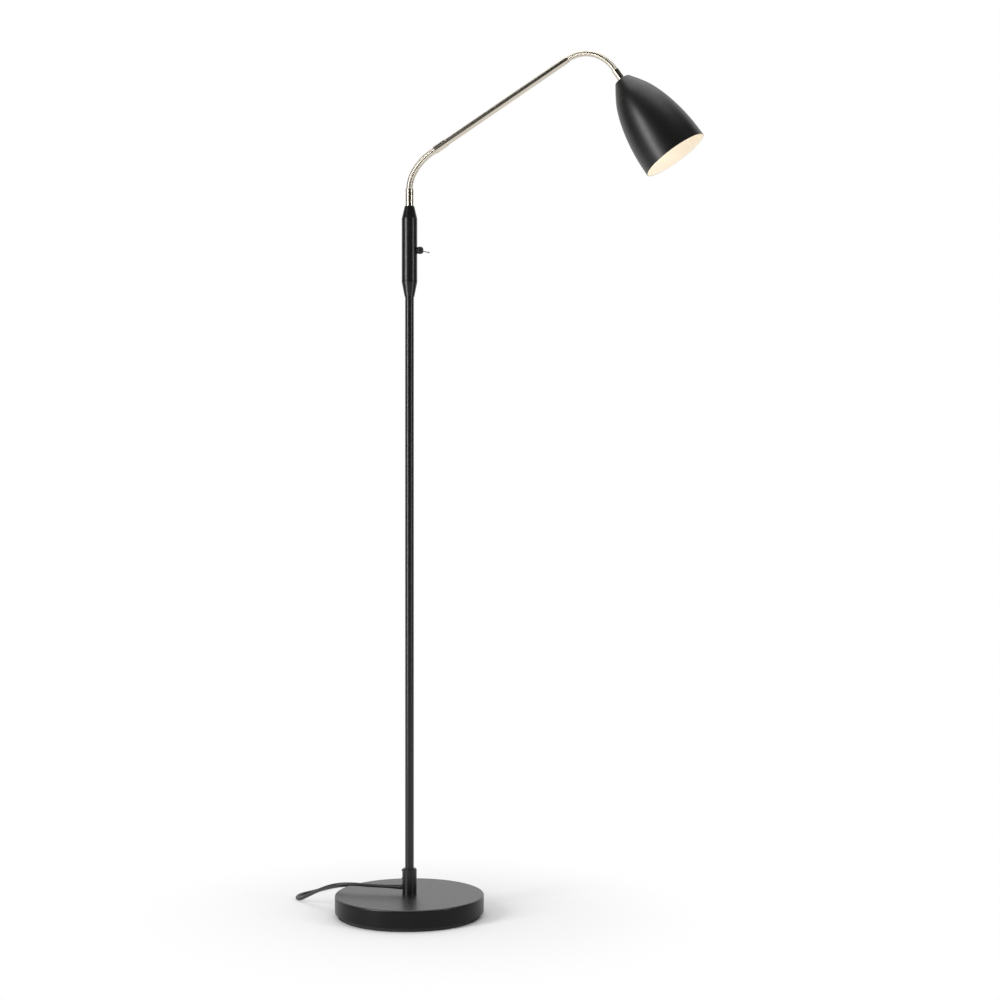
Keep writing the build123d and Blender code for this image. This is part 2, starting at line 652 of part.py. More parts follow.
SOCKET_RADIUS = BULB_CAP_RADIUS + 0.3
HOLDER_END = HOLDER_START + HOLDER_LENGTH
with BuildPart() as lampholder:
    turned(
        crown,
        ((STUB_HOLE_RADIUS, HOLDER_START),
         (HOLDER_RADIUS, HOLDER_START),
         (HOLDER_RADIUS, HOLDER_END),
         (SOCKET_RADIUS, HOLDER_END),
         (SOCKET_RADIUS, HOLDER_START + HOLDER_FLOOR),
         (STUB_HOLE_RADIUS, HOLDER_START + HOLDER_FLOOR)),
        FERRULE_SIDES, hollow=True)
save(lampholder.part, "lampholder")

with BuildPart() as bulb_cap:
    turned(crown, ((0.6 * BULB_CAP_RADIUS, HOLDER_END - BULB_CAP_LENGTH),
                   (BULB_CAP_RADIUS, HOLDER_END - BULB_CAP_LENGTH + 3),
                   (BULB_CAP_RADIUS, HOLDER_END)), SMALL_SIDES)
save(bulb_cap.part, "bulb_cap")

# a small globe on a short neck
GLOBE_CENTRE = HOLDER_END + BULB_LENGTH - BULB_RADIUS
globe_rings = []
for angle in range(140, 0, -20):
    turn = math.radians(angle)
    globe_rings.append((BULB_RADIUS * math.sin(turn), GLOBE_CENTRE + BULB_RADIUS * math.cos(turn)))
with BuildPart() as bulb_glass:
    turned(crown, [(BULB_NECK_RADIUS, HOLDER_END + 0.3)] + globe_rings, FERRULE_SIDES)
save(bulb_glass.part, "bulb_glass")

# ---- mains cord -----------------------------------------------------------------------------------

cord_axes = Plane.XY.rotated((0, 0, CORD_TURN))
CORD_RADIUS = CORD_DIAMETER / 2
FLOOR = CORD_RADIUS
# corner radius of the cord's flat-sided section, which has the round cord's area
SECTION_RADIUS = CORD_RADIUS * math.sqrt(math.tau / (CORD_SIDES * math.sin(math.tau / CORD_SIDES)))


def turn_at(before, corner, after):
    """How far a route turns at a corner, in degrees."""
    return (Vector(*corner) - Vector(*before)).get_angle(Vector(*after) - Vector(*corner))


def easy_radii(points):
    """The largest even bend that each corner's shorter run allows."""
    radii = []
    for before, corner, after in zip(points, points[1:], points[2:]):
        shorter = min((Vector(*corner) - Vector(*before)).length, (Vector(*after) - Vector(*corner)).length)
        radii.append(0.45 * shorter / math.tan(math.radians(turn_at(before, corner, after) / 2)))
    return radii


def cord_stretch(name, points, radii):
    """A stretch of cord along a route on the cord's axes. It returns the route's middle line."""
    route_points = [cord_axes.from_local_coords(point) for point in points]
    with BuildPart() as stretch:
        with BuildLine() as route:
            FilletPolyline(*route_points, radius=radii)
        path = route.wire()
        with BuildSketch(Plane(origin=path @ 0, x_dir=(0, 0, 1), z_dir=path % 0)):
            RegularPolygon(SECTION_RADIUS, CORD_SIDES, rotation=180 / CORD_SIDES)
        sweep()
    save(stretch.part, name)
    section = math.pi * CORD_RADIUS**2
    print(f"{name} length {path.length:.1f}, volume over section x length "
          f"{stretch.part.volume / (section * path.length):.4f}, radii {[round(r) for r in radii]}")
    return path


# the hank lies level on its tie: runs drawn in at the waist, spiralling in below and out again on top
HANK_LOW = FLOOR + TIE_THICKNESS + TIE_GAP
WAIST_ANGLE = math.atan2(WAIST_INSET, HANK_HALF_RUN)
EASE = 0.05


def hank_offset(run):
    """Signed distance of a run's ends from the hank's middle line."""
    inset = min(run, HANK_HALF_TURNS - run) // 2
    return (1 if run % 2 == 0 else -1) * (HANK_HALF_WIDTH - HANK_STEP * inset)


def hank_point(x, y, z):
    return HANK_CENTRE[0] + x, HANK_CENTRE[1] + y, z


def hank_route():
    """Corner points and bend radii of the hank, from its first run on the floor to its last on top."""
    layers = [HANK_LOW] * (HANK_HALF_TURNS // 2) + [HANK_LOW + HANK_LAYER_STEP] * (HANK_HALF_TURNS // 2 + 1)
    points = [hank_point(-HANK_HALF_RUN, hank_offset(0), HANK_LOW)]
    radii = []
    for run in range(HANK_HALF_TURNS + 1):
        heading = 1 if run % 2 == 0 else -1
        side = math.copysign(1, hank_offset(run))
        low = layers[max(run - 1, 0)] if run == HANK_HALF_TURNS // 2 else layers[run]
        waist_height = (low + layers[run]) / 2
        stops = [(0, waist_height)]
        if low != layers[run]:
            stops = [(-CLIMB_REACH, low), (0, waist_height), (CLIMB_REACH, layers[run])]
        for x, height in stops:
            y = hank_offset(run) - side * WAIST_INSET * (1 - abs(x) / HANK_HALF_RUN)
            points.append(hank_point(heading * x, y, height))
            radii.append(WAIST_RADIUS)
        if run == HANK_HALF_TURNS:
            break
        width = abs(hank_offset(run) - hank_offset(run + 1))
        radius = width / (2 * math.cos(WAIST_ANGLE))
        reach = radius * math.tan(math.pi / 4 + WAIST_ANGLE / 2)
        corner_x = heading * (HANK_HALF_RUN + reach * math.cos(WAIST_ANGLE))
        for end in (run, run + 1):
            corner_side = math.copysign(1, hank_offset(end))
            corner_y = hank_offset(end) + corner_side * reach * math.sin(WAIST_ANGLE)
            points.append(hank_point(corner_x, corner_y, layers[run]))
            radii.append(radius - EASE)
    points.append(hank_point(HANK_HALF_RUN, hank_offset(HANK_HALF_TURNS), layers[-1]))
    return points, radii


hank_points, hank_radii = hank_route()

# from the strain relief over the base's edge, down to the floor, and round behind the base
RELIEF_TIP = cord_axes.to_local_coords(Vector(RELIEF_TIP_X, 0, CORD_EXIT_HEIGHT))
FIRST_CORNER = cord_axes.to_local_coords(Vector(RELIEF_TIP_X - 29, 0, CORD_EXIT_HEIGHT))
RUN_POINTS = [
    tuple(RELIEF_TIP), tuple(FIRST_CORNER), (-98, 18.5, 46.2), (-124, 29, 42), (-146, 50, 31),
    (-168, 78, 15.5), (-186, 96, 3.4), (-193.6, 112, FLOOR), (-191.5, 130, FLOOR), (-183, 143, FLOOR),
    (-168, 161, FLOOR), (-150, 188, FLOOR), (-130, 206, FLOOR), (-104, 210, FLOOR),
    hank_point(-HANK_HALF_RUN - HANK_LEAD_IN * math.cos(WAIST_ANGLE),
               HANK_HALF_WIDTH + HANK_LEAD_IN * math.sin(WAIST_ANGLE), HANK_LOW),
    hank_points[0]]

# level off the top of the hank, then down and round to the plug, which lies flat beside it
PLUG_HEIGHT = PLUG_THICKNESS / 2
TAIL_POINTS = [
    hank_points[-1],
    hank_point(HANK_HALF_RUN + TAIL_LEAD_OUT * math.cos(WAIST_ANGLE),
               HANK_HALF_WIDTH + TAIL_LEAD_OUT * math.sin(WAIST_ANGLE), hank_points[-1][2]),
    (58.4, 192.8, 7.6), (70.7, 184.2, 5.4), (79.0, 171.7, PLUG_HEIGHT), (82.2, 157.1, PLUG_HEIGHT)]

run_line = cord_stretch("cord_run", RUN_POINTS, easy_radii(RUN_POINTS))
hank_line = cord_stretch("cord_hank", hank_points, hank_radii)
tail_line = cord_stretch("cord_tail", TAIL_POINTS, easy_radii(TAIL_POINTS))
print("cord in all", round(run_line.length + hank_line.length + tail_line.length, 1))

SAMPLES = 900
samples = [tuple(hank_line @ (i / SAMPLES)) for i in range(SAMPLES + 1)]
apart = round(4 * CORD_DIAMETER / (hank_line.length / SAMPLES))
least = min(math.dist(one, other) for i, one in enumerate(samples) for other in samples[i + apart:])
print("least gap of the hank to itself", round(least - CORD_DIAMETER, 2))

TIE_HALF_WIDTH = HANK_HALF_WIDTH - WAIST_INSET + CORD_RADIUS + 0.35 + TIE_THICKNESS
TIE_TOP = HANK_LOW + HANK_LAYER_STEP + CORD_RADIUS + TIE_GAP + TIE_THICKNESS
tie_middle = cord_axes.from_local_coords(hank_point(-TIE_WIDTH / 2, 0, TIE_TOP / 2))
with BuildPart() as cord_tie:
    with BuildSketch(Plane(origin=tie_middle, x_dir=cord_axes.y_dir, z_dir=cord_axes.x_dir)):
        Rectangle(2 * TIE_HALF_WIDTH, TIE_TOP)
        offset(amount=-TIE_THICKNESS, mode=Mode.SUBTRACT)
    extrude(amount=TIE_WIDTH)
save(cord_tie.part, "cord_tie")

# the plug carries on the way that the cord comes to it
plug_rear = cord_axes.from_local_coords(TAIL_POINTS[-1])
plug_heading = plug_rear - cord_axes.from_local_coords(TAIL_POINTS[-2])
plug_plane = Plane(origin=(plug_rear.X, plug_rear.Y, 0),
                   x_dir=(plug_heading.Y, -plug_heading.X, 0), z_dir=(0, 0, 1))
with BuildPart() as plug_body:
    with BuildSketch(plug_plane):
        with BuildLine():
            Polyline(
                (-PLUG_REAR_WIDTH / 2, 0), (PLUG_REAR_WIDTH / 2, 0),
                (PLUG_WIDTH / 2, PLUG_LENGTH - PLUG_NOSE), (PLUG_WIDTH / 2, PLUG_LENGTH),
                (-PLUG_WIDTH / 2, PLUG_LENGTH), (-PLUG_WIDTH / 2, PLUG_LENGTH - PLUG_NOSE), close=True)
        make_face()
    extrude(amount=PLUG_THICKNESS)
    chamfer(plug_body.edges().filter_by(Axis.Z), 2.0)
    plug_flats = plug_body.faces().sort_by(Axis.Z)
    chamfer(plug_flats[0].edges() + plug_flats[-1].edges(), 1.6)
save(plug_body.part, "plug_body")

with BuildPart() as plug_pins:
    pin_plane = Plane(origin=plug_plane.from_local_coords((0, PLUG_LENGTH, PLUG_HEIGHT)),
                      x_dir=plug_plane.x_dir, z_dir=plug_plane.y_dir)
    with BuildSketch(pin_plane):
        with GridLocations(PIN_SPACING, 0, 2, 1):
            RegularPolygon(PIN_RADIUS, SMALL_SIDES)
    extrude(amount=PIN_LENGTH)
    pin_ends = plug_pins.faces().sort_by(Axis(pin_plane.origin, pin_plane.z_dir))[-2:]
    chamfer(pin_ends.edges(), 0.6)
save(plug_pins.part, "plug_pins")
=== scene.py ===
"""Gooseneck reading floor lamp: the finished surfaces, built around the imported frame.

Lengths below are in millimetres, in the frame of the CAD part, and become metres in `skin`.
"""

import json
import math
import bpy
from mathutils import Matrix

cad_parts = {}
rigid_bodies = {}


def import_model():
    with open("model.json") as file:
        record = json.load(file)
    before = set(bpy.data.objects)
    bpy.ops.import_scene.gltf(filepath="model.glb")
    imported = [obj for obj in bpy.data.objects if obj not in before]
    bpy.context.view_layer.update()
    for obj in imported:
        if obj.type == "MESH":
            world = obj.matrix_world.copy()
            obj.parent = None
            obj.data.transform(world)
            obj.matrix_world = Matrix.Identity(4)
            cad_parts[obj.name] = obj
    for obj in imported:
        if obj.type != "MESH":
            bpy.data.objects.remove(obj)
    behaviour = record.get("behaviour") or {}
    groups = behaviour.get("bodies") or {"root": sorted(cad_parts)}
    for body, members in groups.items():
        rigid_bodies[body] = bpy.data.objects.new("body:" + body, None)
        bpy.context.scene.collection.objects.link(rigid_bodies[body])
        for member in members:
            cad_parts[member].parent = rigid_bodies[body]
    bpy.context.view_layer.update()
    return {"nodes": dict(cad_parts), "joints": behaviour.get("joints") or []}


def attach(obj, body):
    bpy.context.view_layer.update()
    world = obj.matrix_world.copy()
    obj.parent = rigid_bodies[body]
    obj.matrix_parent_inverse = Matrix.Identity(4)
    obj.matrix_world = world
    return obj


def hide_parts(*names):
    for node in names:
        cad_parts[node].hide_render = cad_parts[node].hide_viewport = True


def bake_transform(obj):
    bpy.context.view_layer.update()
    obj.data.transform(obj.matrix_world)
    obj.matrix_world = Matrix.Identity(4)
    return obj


bl_info = {
    "name": "Gooseneck floor lamp",
    "version": (1, 0, 0),
    "blender": (4, 5, 0),
    "location": "3D View > Sidebar > Lamp",
    "description": "Builds the surfaces, finishes and studio of a gooseneck floor lamp",
    "category": "Add Mesh",
}

import bpy
import numpy as np
from bpy.props import FloatProperty, FloatVectorProperty, PointerProperty
from mathutils import Vector

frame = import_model()

MM = 0.001
ROUND = 96
SMALL = 48
EASE_STEPS = 5
SHARP_EDGE = 38.0
CORD_TURN = math.radians(10.8)
WIRE_RADIUS = 1.5
CURVE_ORDER = 3
CURVE_STEPS = 6
WIRE_ROUNDNESS = 2
CORD_ROUNDNESS = 6

# places along the lamp, from the CAD part: (x, z, heading above +X in degrees)
POLE = (0.0, 0.0, 90.0)
SLEEVE = (41.33, 1221.71, 32.3)
ARM = (52.32, 1228.66, 32.3)
HEAD = (330.63, 1337.16, -55.4)
CROWN = (341.42, 1321.52, -55.4)
ARM_LENGTH = 240.8


# ---- shapes -----------------------------------------------------------------------------------

def unit(vectors):
    """The vectors at length 1."""
    length = np.linalg.norm(vectors, axis=-1, keepdims=True)
    return vectors / np.maximum(length, 1e-12)


def lean(x, z, heading):
    """Origin, two cross axes and the axis of a turned piece at (x, z), leaning `heading` above +X."""
    angle = math.radians(heading)
    axis = np.array((math.cos(angle), 0.0, math.sin(angle)))
    side = np.array((0.0, 1.0, 0.0))
    return np.array((x, 0.0, z)), side, np.cross(axis, side), axis


def facing(x, height, direction=1):
    """The same for a piece across the X axis, facing +X or -X."""
    axis = np.array((float(direction), 0.0, 0.0))
    side = np.array((0.0, 1.0, 0.0))
    return np.array((x, 0.0, height)), side, np.cross(axis, side), axis


def eased(*corners):
    """A profile with rounded corners, given as (radius, height, ease).

    Each corner C gives way to the curve (1-t)^2 A + 2t(1-t) C + t^2 B, where A and B lie `ease` before
    and after it, with one more point beyond each so that the shading of the flats stays even.
    """
    corner = np.array([c[:2] for c in corners], float)
    ease = np.array([c[2] if len(c) > 2 else 0.0 for c in corners])[:, None]
    before = ease * unit(np.roll(corner, 1, 0) - corner)
    after = ease * unit(np.roll(corner, -1, 0) - corner)
    t = np.linspace(0.0, 1.0, EASE_STEPS + 1)[:, None, None]
    curve = (1 - t) ** 2 * (corner + before) + 2 * t * (1 - t) * corner + t ** 2 * (corner + after)
    rows = np.concatenate(((corner + 1.5 * before)[None], curve, (corner + 1.5 * after)[None]))
    rows = rows.transpose(1, 0, 2).reshape(-1, 2)
    return rows[np.linalg.norm(rows - np.roll(rows, 1, 0), axis=1) > 1e-5]


def turned(place, profile, sides=ROUND, wobble=None):
    """A profile carried round an axis: origin + r cos(a) side + r sin(a) up + h axis.

    `wobble` is a factor on the radius at each angle.
    """
    origin, side, up, axis = place
    turn = np.arange(sides) * math.tau / sides
    spoke = np.cos(turn)[:, None] * side + np.sin(turn)[:, None] * up
    factor = np.ones(sides) if wobble is None else wobble
    radius = profile[:, :1] * factor
    return origin + radius[..., None] * spoke + profile[:, 1][:, None, None] * axis


def skin(name, grid, closed=False, sharp=SHARP_EDGE):
    """An object over a grid of rings: grid[i, j] is point j of ring i, in millimetres.

    Each ring closes on itself. The rings close into a loop, or each end is closed by a fan about its
    middle. Faces are turned outward by the sign of the enclosed volume.
    """
    rings, sides = grid.shape[:2]
    points = grid.reshape(-1, 3)
    ring = np.arange(rings if closed else rings - 1)[:, None]
    side = np.arange(sides)[None]
    after, beside = (ring + 1) % rings, (side + 1) % sides
    corners = (ring * sides + side, ring * sides + beside, after * sides + beside, after * sides + side)
    quads = np.stack(np.broadcast_arrays(*corners), -1).reshape(-1, 4)
    fans = np.empty((0, 3), int)
    if not closed:
        points = np.vstack((points, grid[[0, -1]].mean(1)))
        one, other, last = side[0], beside[0], (rings - 1) * sides
        fans = np.concatenate((
            np.stack((other, one, np.full(sides, rings * sides)), -1),
            np.stack((last + one, last + other, np.full(sides, rings * sides + 1)), -1)))
    halves = np.concatenate((quads[:, :3], quads[:, (0, 2, 3)], fans))
    a, b, c = (points[halves[:, i]] - points[0] for i in range(3))
    if np.einsum("ij,ij->i", a, np.cross(b, c)).sum() < 0:
        quads, fans = quads[:, ::-1], fans[:, ::-1]
    mesh = bpy.data.meshes.new(name)
    mesh.from_pydata((points * MM).tolist(), [], quads.tolist() + fans.tolist())
    mesh.polygons.foreach_set("use_smooth", np.ones(len(mesh.polygons), bool))
    mesh.set_sharp_from_angle(angle=math.radians(sharp))
    mesh.update()
    piece = bpy.data.objects.new(name, mesh)
    bpy.context.scene.collection.objects.link(piece)
    return piece


def fit(piece, body, slot, material, *nodes):
    """Dresses a piece, puts it on its body, if it has one, and lets it stand for its CAD nodes."""
    piece.data.materials.append(material)
    if body:
        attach(piece, body)
    if nodes:
        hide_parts(*nodes)
    return piece


def bent_curve(name, points, radius, roundness):
    """A round NURBS curve from the first point to the last, drawn towards the points between them."""
    curve = bpy.data.curves.new(name, "CURVE")
    curve.dimensions = "3D"
    spline = curve.splines.new("NURBS")
    spline.points.add(len(points) - 1)
    spline.points.foreach_set("co", np.hstack((points * MM, np.ones((len(points), 1)))).ravel())
    spline.order_u = CURVE_ORDER
    spline.use_endpoint_u = True
    spline.resolution_u = CURVE_STEPS
    curve.bevel_depth = radius * MM
    curve.bevel_resolution = roundness
    curve.use_fill_caps = True
    piece = bpy.data.objects.new(name, curve)
    bpy.context.scene.collection.objects.link(piece)
    return piece


def tube(line, radius, sides=SMALL):
    """Rings across a line that stays in the XZ plane, with the radius as a (ring, side) array."""
    tangent = unit(np.gradient(line, axis=0))
    side = np.broadcast_to(np.array((0.0, 1.0, 0.0)), tangent.shape)
    up = np.cross(tangent, side)
    turn = np.arange(sides) * math.tau / sides
    spoke = np.cos(turn)[None, :, None] * side[:, None] + np.sin(turn)[None, :, None] * up[:, None]
    wide = np.broadcast_to(np.asarray(radius, float), (len(line), sides))
    return line[:, None] + wide[..., None] * spoke


# ---- finishes ---------------------------------------------------------------------------------

NOISE_RANGE = (0.3, 0.7)
BRUSHED_GRAIN = (0.00035, 0.02, 0.02)
PATCH_SCALE = 90.0
BULB_GLOW = (1.0, 0.91, 0.78, 1.0)
BULB_GLOW_STRENGTH = 2.1


def finish(name, colour, roughness, metallic=0.0, specular=0.5, heading=None, broad=18.0, fine=2600.0,
           lift=0.25, depth=0.00004, spread=0.12, swing=0.05, foam=False):
    """A finish on Object coordinates.

    The colour runs between two shades of itself on a broad noise, the roughness follows a middle one,
    and a fine noise, or cells on foam, lifts the surface. With a heading, the fine and middle patterns
    are drawn out into rings about an axis of that heading, as on lathe-brushed tube.
    """
    material = bpy.data.materials.new(name)
    material.use_nodes = True
    nodes, link = material.node_tree.nodes, material.node_tree.links.new
    shader = nodes["Principled BSDF"]
    shader.inputs["Metallic"].default_value = metallic
    shader.inputs["Specular IOR Level"].default_value = specular
    place = nodes.new("ShaderNodeTexCoord").outputs["Object"]

    tone = nodes.new("ShaderNodeTexNoise")
    tone.inputs["Scale"].default_value = broad
    tone.inputs["Detail"].default_value = 5.0
    link(place, tone.inputs["Vector"])
    shades = nodes.new("ShaderNodeValToRGB")
    stops = zip(shades.color_ramp.elements, NOISE_RANGE, (1 - spread, 1 + spread))
    for stop, position, factor in stops:
        stop.position = position
        stop.color = (*(min(1.0, c * factor) for c in colour), 1.0)
    link(tone.outputs["Fac"], shades.inputs["Fac"])
    link(shades.outputs["Color"], shader.inputs["Base Color"])

    pattern = place
    scale = fine
    if heading is not None:
        drawn = nodes.new("ShaderNodeMapping")
        drawn.vector_type = "TEXTURE"
        drawn.inputs["Rotation"].default_value = (0.0, -math.radians(heading), 0.0)
        drawn.inputs["Scale"].default_value = BRUSHED_GRAIN
        link(place, drawn.inputs["Vector"])
        pattern = drawn.outputs["Vector"]
        scale = 1.0
    grain = nodes.new("ShaderNodeTexVoronoi" if foam else "ShaderNodeTexNoise")
    grain.inputs["Scale"].default_value = scale
    link(pattern, grain.inputs["Vector"])
    height = grain.outputs["Distance" if foam else "Fac"]
    raised = nodes.new("ShaderNodeBump")
    raised.inputs["Strength"].default_value = lift
    raised.inputs["Distance"].default_value = depth
    link(height, raised.inputs["Height"])
    link(raised.outputs["Normal"], shader.inputs["Normal"])

    patches = nodes.new("ShaderNodeTexNoise")
    patches.inputs["Scale"].default_value = PATCH_SCALE if heading is None else scale * 0.5
    patches.inputs["Detail"].default_value = 4.0
    link(pattern, patches.inputs["Vector"])
    gloss = nodes.new("ShaderNodeMapRange")
    gloss.inputs["From Min"].default_value = NOISE_RANGE[0]
    gloss.inputs["From Max"].default_value = NOISE_RANGE[1]
    gloss.inputs["To Min"].default_value = roughness - swing
    gloss.inputs["To Max"].default_value = roughness + swing
    link(patches.outputs["Fac"], gloss.inputs["Value"])
    link(gloss.outputs["Result"], shader.inputs["Roughness"])
    return material


def known(name):
    """A finish by name, made on first use from the scene's colours."""
    if name in bpy.data.materials:
        return bpy.data.materials[name]
    colours = bpy.context.scene.lamp_colours
    black, nickel, zinc = tuple(colours.coat), tuple(colours.nickel), tuple(colours.zinc)
    dark = tuple(colours.plastic)
    recipes = {
        "powder_coat": dict(colour=black, roughness=0.30, specular=0.45, fine=1500.0, lift=0.08,
                            depth=0.00002, swing=0.02),
        "shade_coat": dict(colour=black, roughness=0.37, specular=0.45, fine=1400.0, lift=0.08,
                           depth=0.00002, swing=0.015),
        # the base's top and rim share one black coat in two copies: the top's reflects more, a painted
        # sheen, and the rim's reflects less, a painted shade
        "base_top_sheen_coat": dict(colour=black, roughness=0.37, specular=0.75, fine=1300.0, lift=0.06,
                          depth=0.00002, spread=0.05, swing=0.015),
        "base_rim_shade_coat": dict(colour=black, roughness=0.32, specular=0.16, fine=1300.0, lift=0.06,
                         depth=0.00002, spread=0.05, swing=0.015),
        "lining_enamel": dict(colour=tuple(colours.lining), roughness=0.45, spread=0.02, fine=1200.0),
        "nickel_upright": dict(colour=nickel, roughness=0.24, metallic=1.0, heading=90.0, spread=0.04,
                               lift=0.04, swing=0.03),
        "nickel_arm": dict(colour=nickel, roughness=0.26, metallic=1.0, heading=32.3, spread=0.04,
                           lift=0.04, swing=0.03),
        "nickel_head": dict(colour=nickel, roughness=0.24, metallic=1.0, heading=-55.4, spread=0.04,
                            lift=0.04, swing=0.03),
        "nickel_wound": dict(colour=nickel, roughness=0.26, metallic=1.0, fine=1800.0, spread=0.04,
                             lift=0.04, swing=0.03),
        "zinc_plate": dict(colour=zinc, roughness=0.30, metallic=1.0, fine=1500.0, spread=0.08),
        "dull_zinc": dict(colour=tuple(0.45 * c for c in zinc), roughness=0.42, metallic=1.0,
                          fine=1500.0, spread=0.08),
        "blackened_steel": dict(colour=tuple(colours.blackened), roughness=0.38, metallic=1.0,
                                fine=1800.0),
        "rough_casting": dict(colour=(0.10, 0.10, 0.10), roughness=0.75, fine=420.0, lift=0.6,
                              depth=0.0004, spread=0.3),
        "foot_foam": dict(colour=tuple(colours.foot), roughness=0.85, fine=900.0, lift=0.5,
                          depth=0.0002, spread=0.25, foam=True),
        "moulded_black": dict(colour=dark, roughness=0.46, fine=2200.0, spread=0.15),
        "cord_skin": dict(colour=dark, roughness=0.42, fine=1500.0, spread=0.15, lift=0.15),
        "opal_glass": dict(colour=tuple(colours.opal), roughness=0.22, fine=700.0, spread=0.02,
                           lift=0.05),
        "pin_plate": dict(colour=(0.75, 0.74, 0.72), roughness=0.22, metallic=1.0, fine=1500.0,
                          spread=0.06),
    }
    material = finish(name, **recipes[name])
    if name == "opal_glass":
        shader = material.node_tree.nodes["Principled BSDF"]
        shader.inputs["Subsurface Weight"].default_value = 0.4
        shader.inputs["Subsurface Scale"].default_value = 0.01
        shader.inputs["Emission Color"].default_value = BULB_GLOW
        shader.inputs["Emission Strength"].default_value = BULB_GLOW_STRENGTH
    return material


# ---- sizes and colours ------------------------------------------------------------------------

class LampSizes(bpy.types.PropertyGroup):
    """Sizes of the lamp's surfaces that may be changed."""

    rib_pitch: FloatProperty(
        name="Rib pitch", description="Distance from crest to crest along the goosenecks",
        default=0.0024, min=0.0015, max=0.005, unit="LENGTH")
    rib_depth: FloatProperty(
        name="Rib depth", description="Depth of the grooves between the goosenecks' turns",
        default=0.00055, min=0.0001, max=0.001, unit="LENGTH")
    cord_diameter: FloatProperty(
        name="Cord diameter", description="Diameter of the mains cord",
        default=0.0055, min=0.004, max=0.007, unit="LENGTH")
    cord_length: FloatProperty(
        name="Cord length", description="Whole length of the mains cord",
        default=1.82, min=1.6, max=2.0, unit="LENGTH")


class LampColours(bpy.types.PropertyGroup):
    """Colours of the lamp's finishes."""

    coat: FloatVectorProperty(name="Coat", description="Powder coat of the base, pole and shade",
                              default=(0.006, 0.006, 0.0058), subtype="COLOR", min=0.0, max=1.0)
    lining: FloatVectorProperty(name="Lining", description="Enamel inside the shade",
                                default=(0.93, 0.87, 0.77), subtype="COLOR", min=0.0, max=1.0)
    nickel: FloatVectorProperty(name="Nickel", description="Satin nickel of the arm and goosenecks",
                                default=(0.64, 0.59, 0.50), subtype="COLOR", min=0.0, max=1.0)
    zinc: FloatVectorProperty(name="Zinc", description="Plated steel of the hidden fittings",
                              default=(0.58, 0.58, 0.58), subtype="COLOR", min=0.0, max=1.0)
    blackened: FloatVectorProperty(name="Blackened steel", description="Screws and switch nut",
                                   default=(0.04, 0.04, 0.04), subtype="COLOR", min=0.0, max=1.0)
    plastic: FloatVectorProperty(name="Plastic", description="Cord, plug and lampholder",
                                 default=(0.014, 0.014, 0.014), subtype="COLOR", min=0.0, max=1.0)
    foot: FloatVectorProperty(name="Foot", description="Foam pad under the base",
                              default=(0.022, 0.022, 0.022), subtype="COLOR", min=0.0, max=1.0)
    opal: FloatVectorProperty(name="Opal", description="Opal globe of the bulb",
                              default=(0.93, 0.90, 0.84), subtype="COLOR", min=0.0, max=1.0)


# ---- stage ------------------------------------------------------------------------------------

WHITE = (1.0, 1.0, 1.0, 1.0)
FLOOR_SHADE = (0.93, 0.93, 0.93, 1.0)
FLOOR_FADE = (0.10, 0.5)
WORLD_LIGHT = 0.5
LIGHTS = (
    # name, place, aim, width, height, power, share in highlights
    ("left_strip", (-1.72, -1.95, 1.1), (0.0, 0.0, 0.9), 0.62, 2.2, 60.0, 1.0),
    ("right_strip", (2.46, -0.86, 1.0), (0.0, 0.0, 0.6), 0.35, 1.6, 16.0, 1.0),
    ("overhead", (0.2, 0.2, 3.2), (0.2, 0.0, 0.0), 2.2, 2.2, 22.0, 0.1))
CAMERA_LENS = 63.9
CAMERA_PLACE = (0.6744, -2.7626, 0.664)
WALL_SPAN = 118.0
WALL_RADIUS = 3300.0
WALL_HEIGHT = 6500.0
WALL_STEPS = 49


def rays_that_see_white(nodes, link):
    """A factor that is 1 for camera, glossy and transmission rays."""
    path = nodes.new("ShaderNodeLightPath")
    first = nodes.new("ShaderNodeMath")
    first.operation = "MAXIMUM"
    link(path.outputs["Is Camera Ray"], first.inputs[0])
    link(path.outputs["Is Glossy Ray"], first.inputs[1])
    both = nodes.new("ShaderNodeMath")
    both.operation = "MAXIMUM"
    link(first.outputs[0], both.inputs[0])
    link(path.outputs["Is Transmission Ray"], both.inputs[1])
    return both.outputs[0]


def softbox(name, place, aim, width, height, power, gloss):
    """A rectangular area light at a place, turned towards its aim."""
    lamp = bpy.data.lights.new(name, "AREA")
    lamp.specular_factor = gloss
    lamp.shape = "RECTANGLE"
    lamp.size = width
    lamp.size_y = height
    lamp.energy = power
    holder = bpy.data.objects.new(name, lamp)
    holder.location = place
    holder.rotation_euler = (Vector(aim) - Vector(place)).to_track_quat("-Z", "Y").to_euler()
    bpy.context.scene.collection.objects.link(holder)


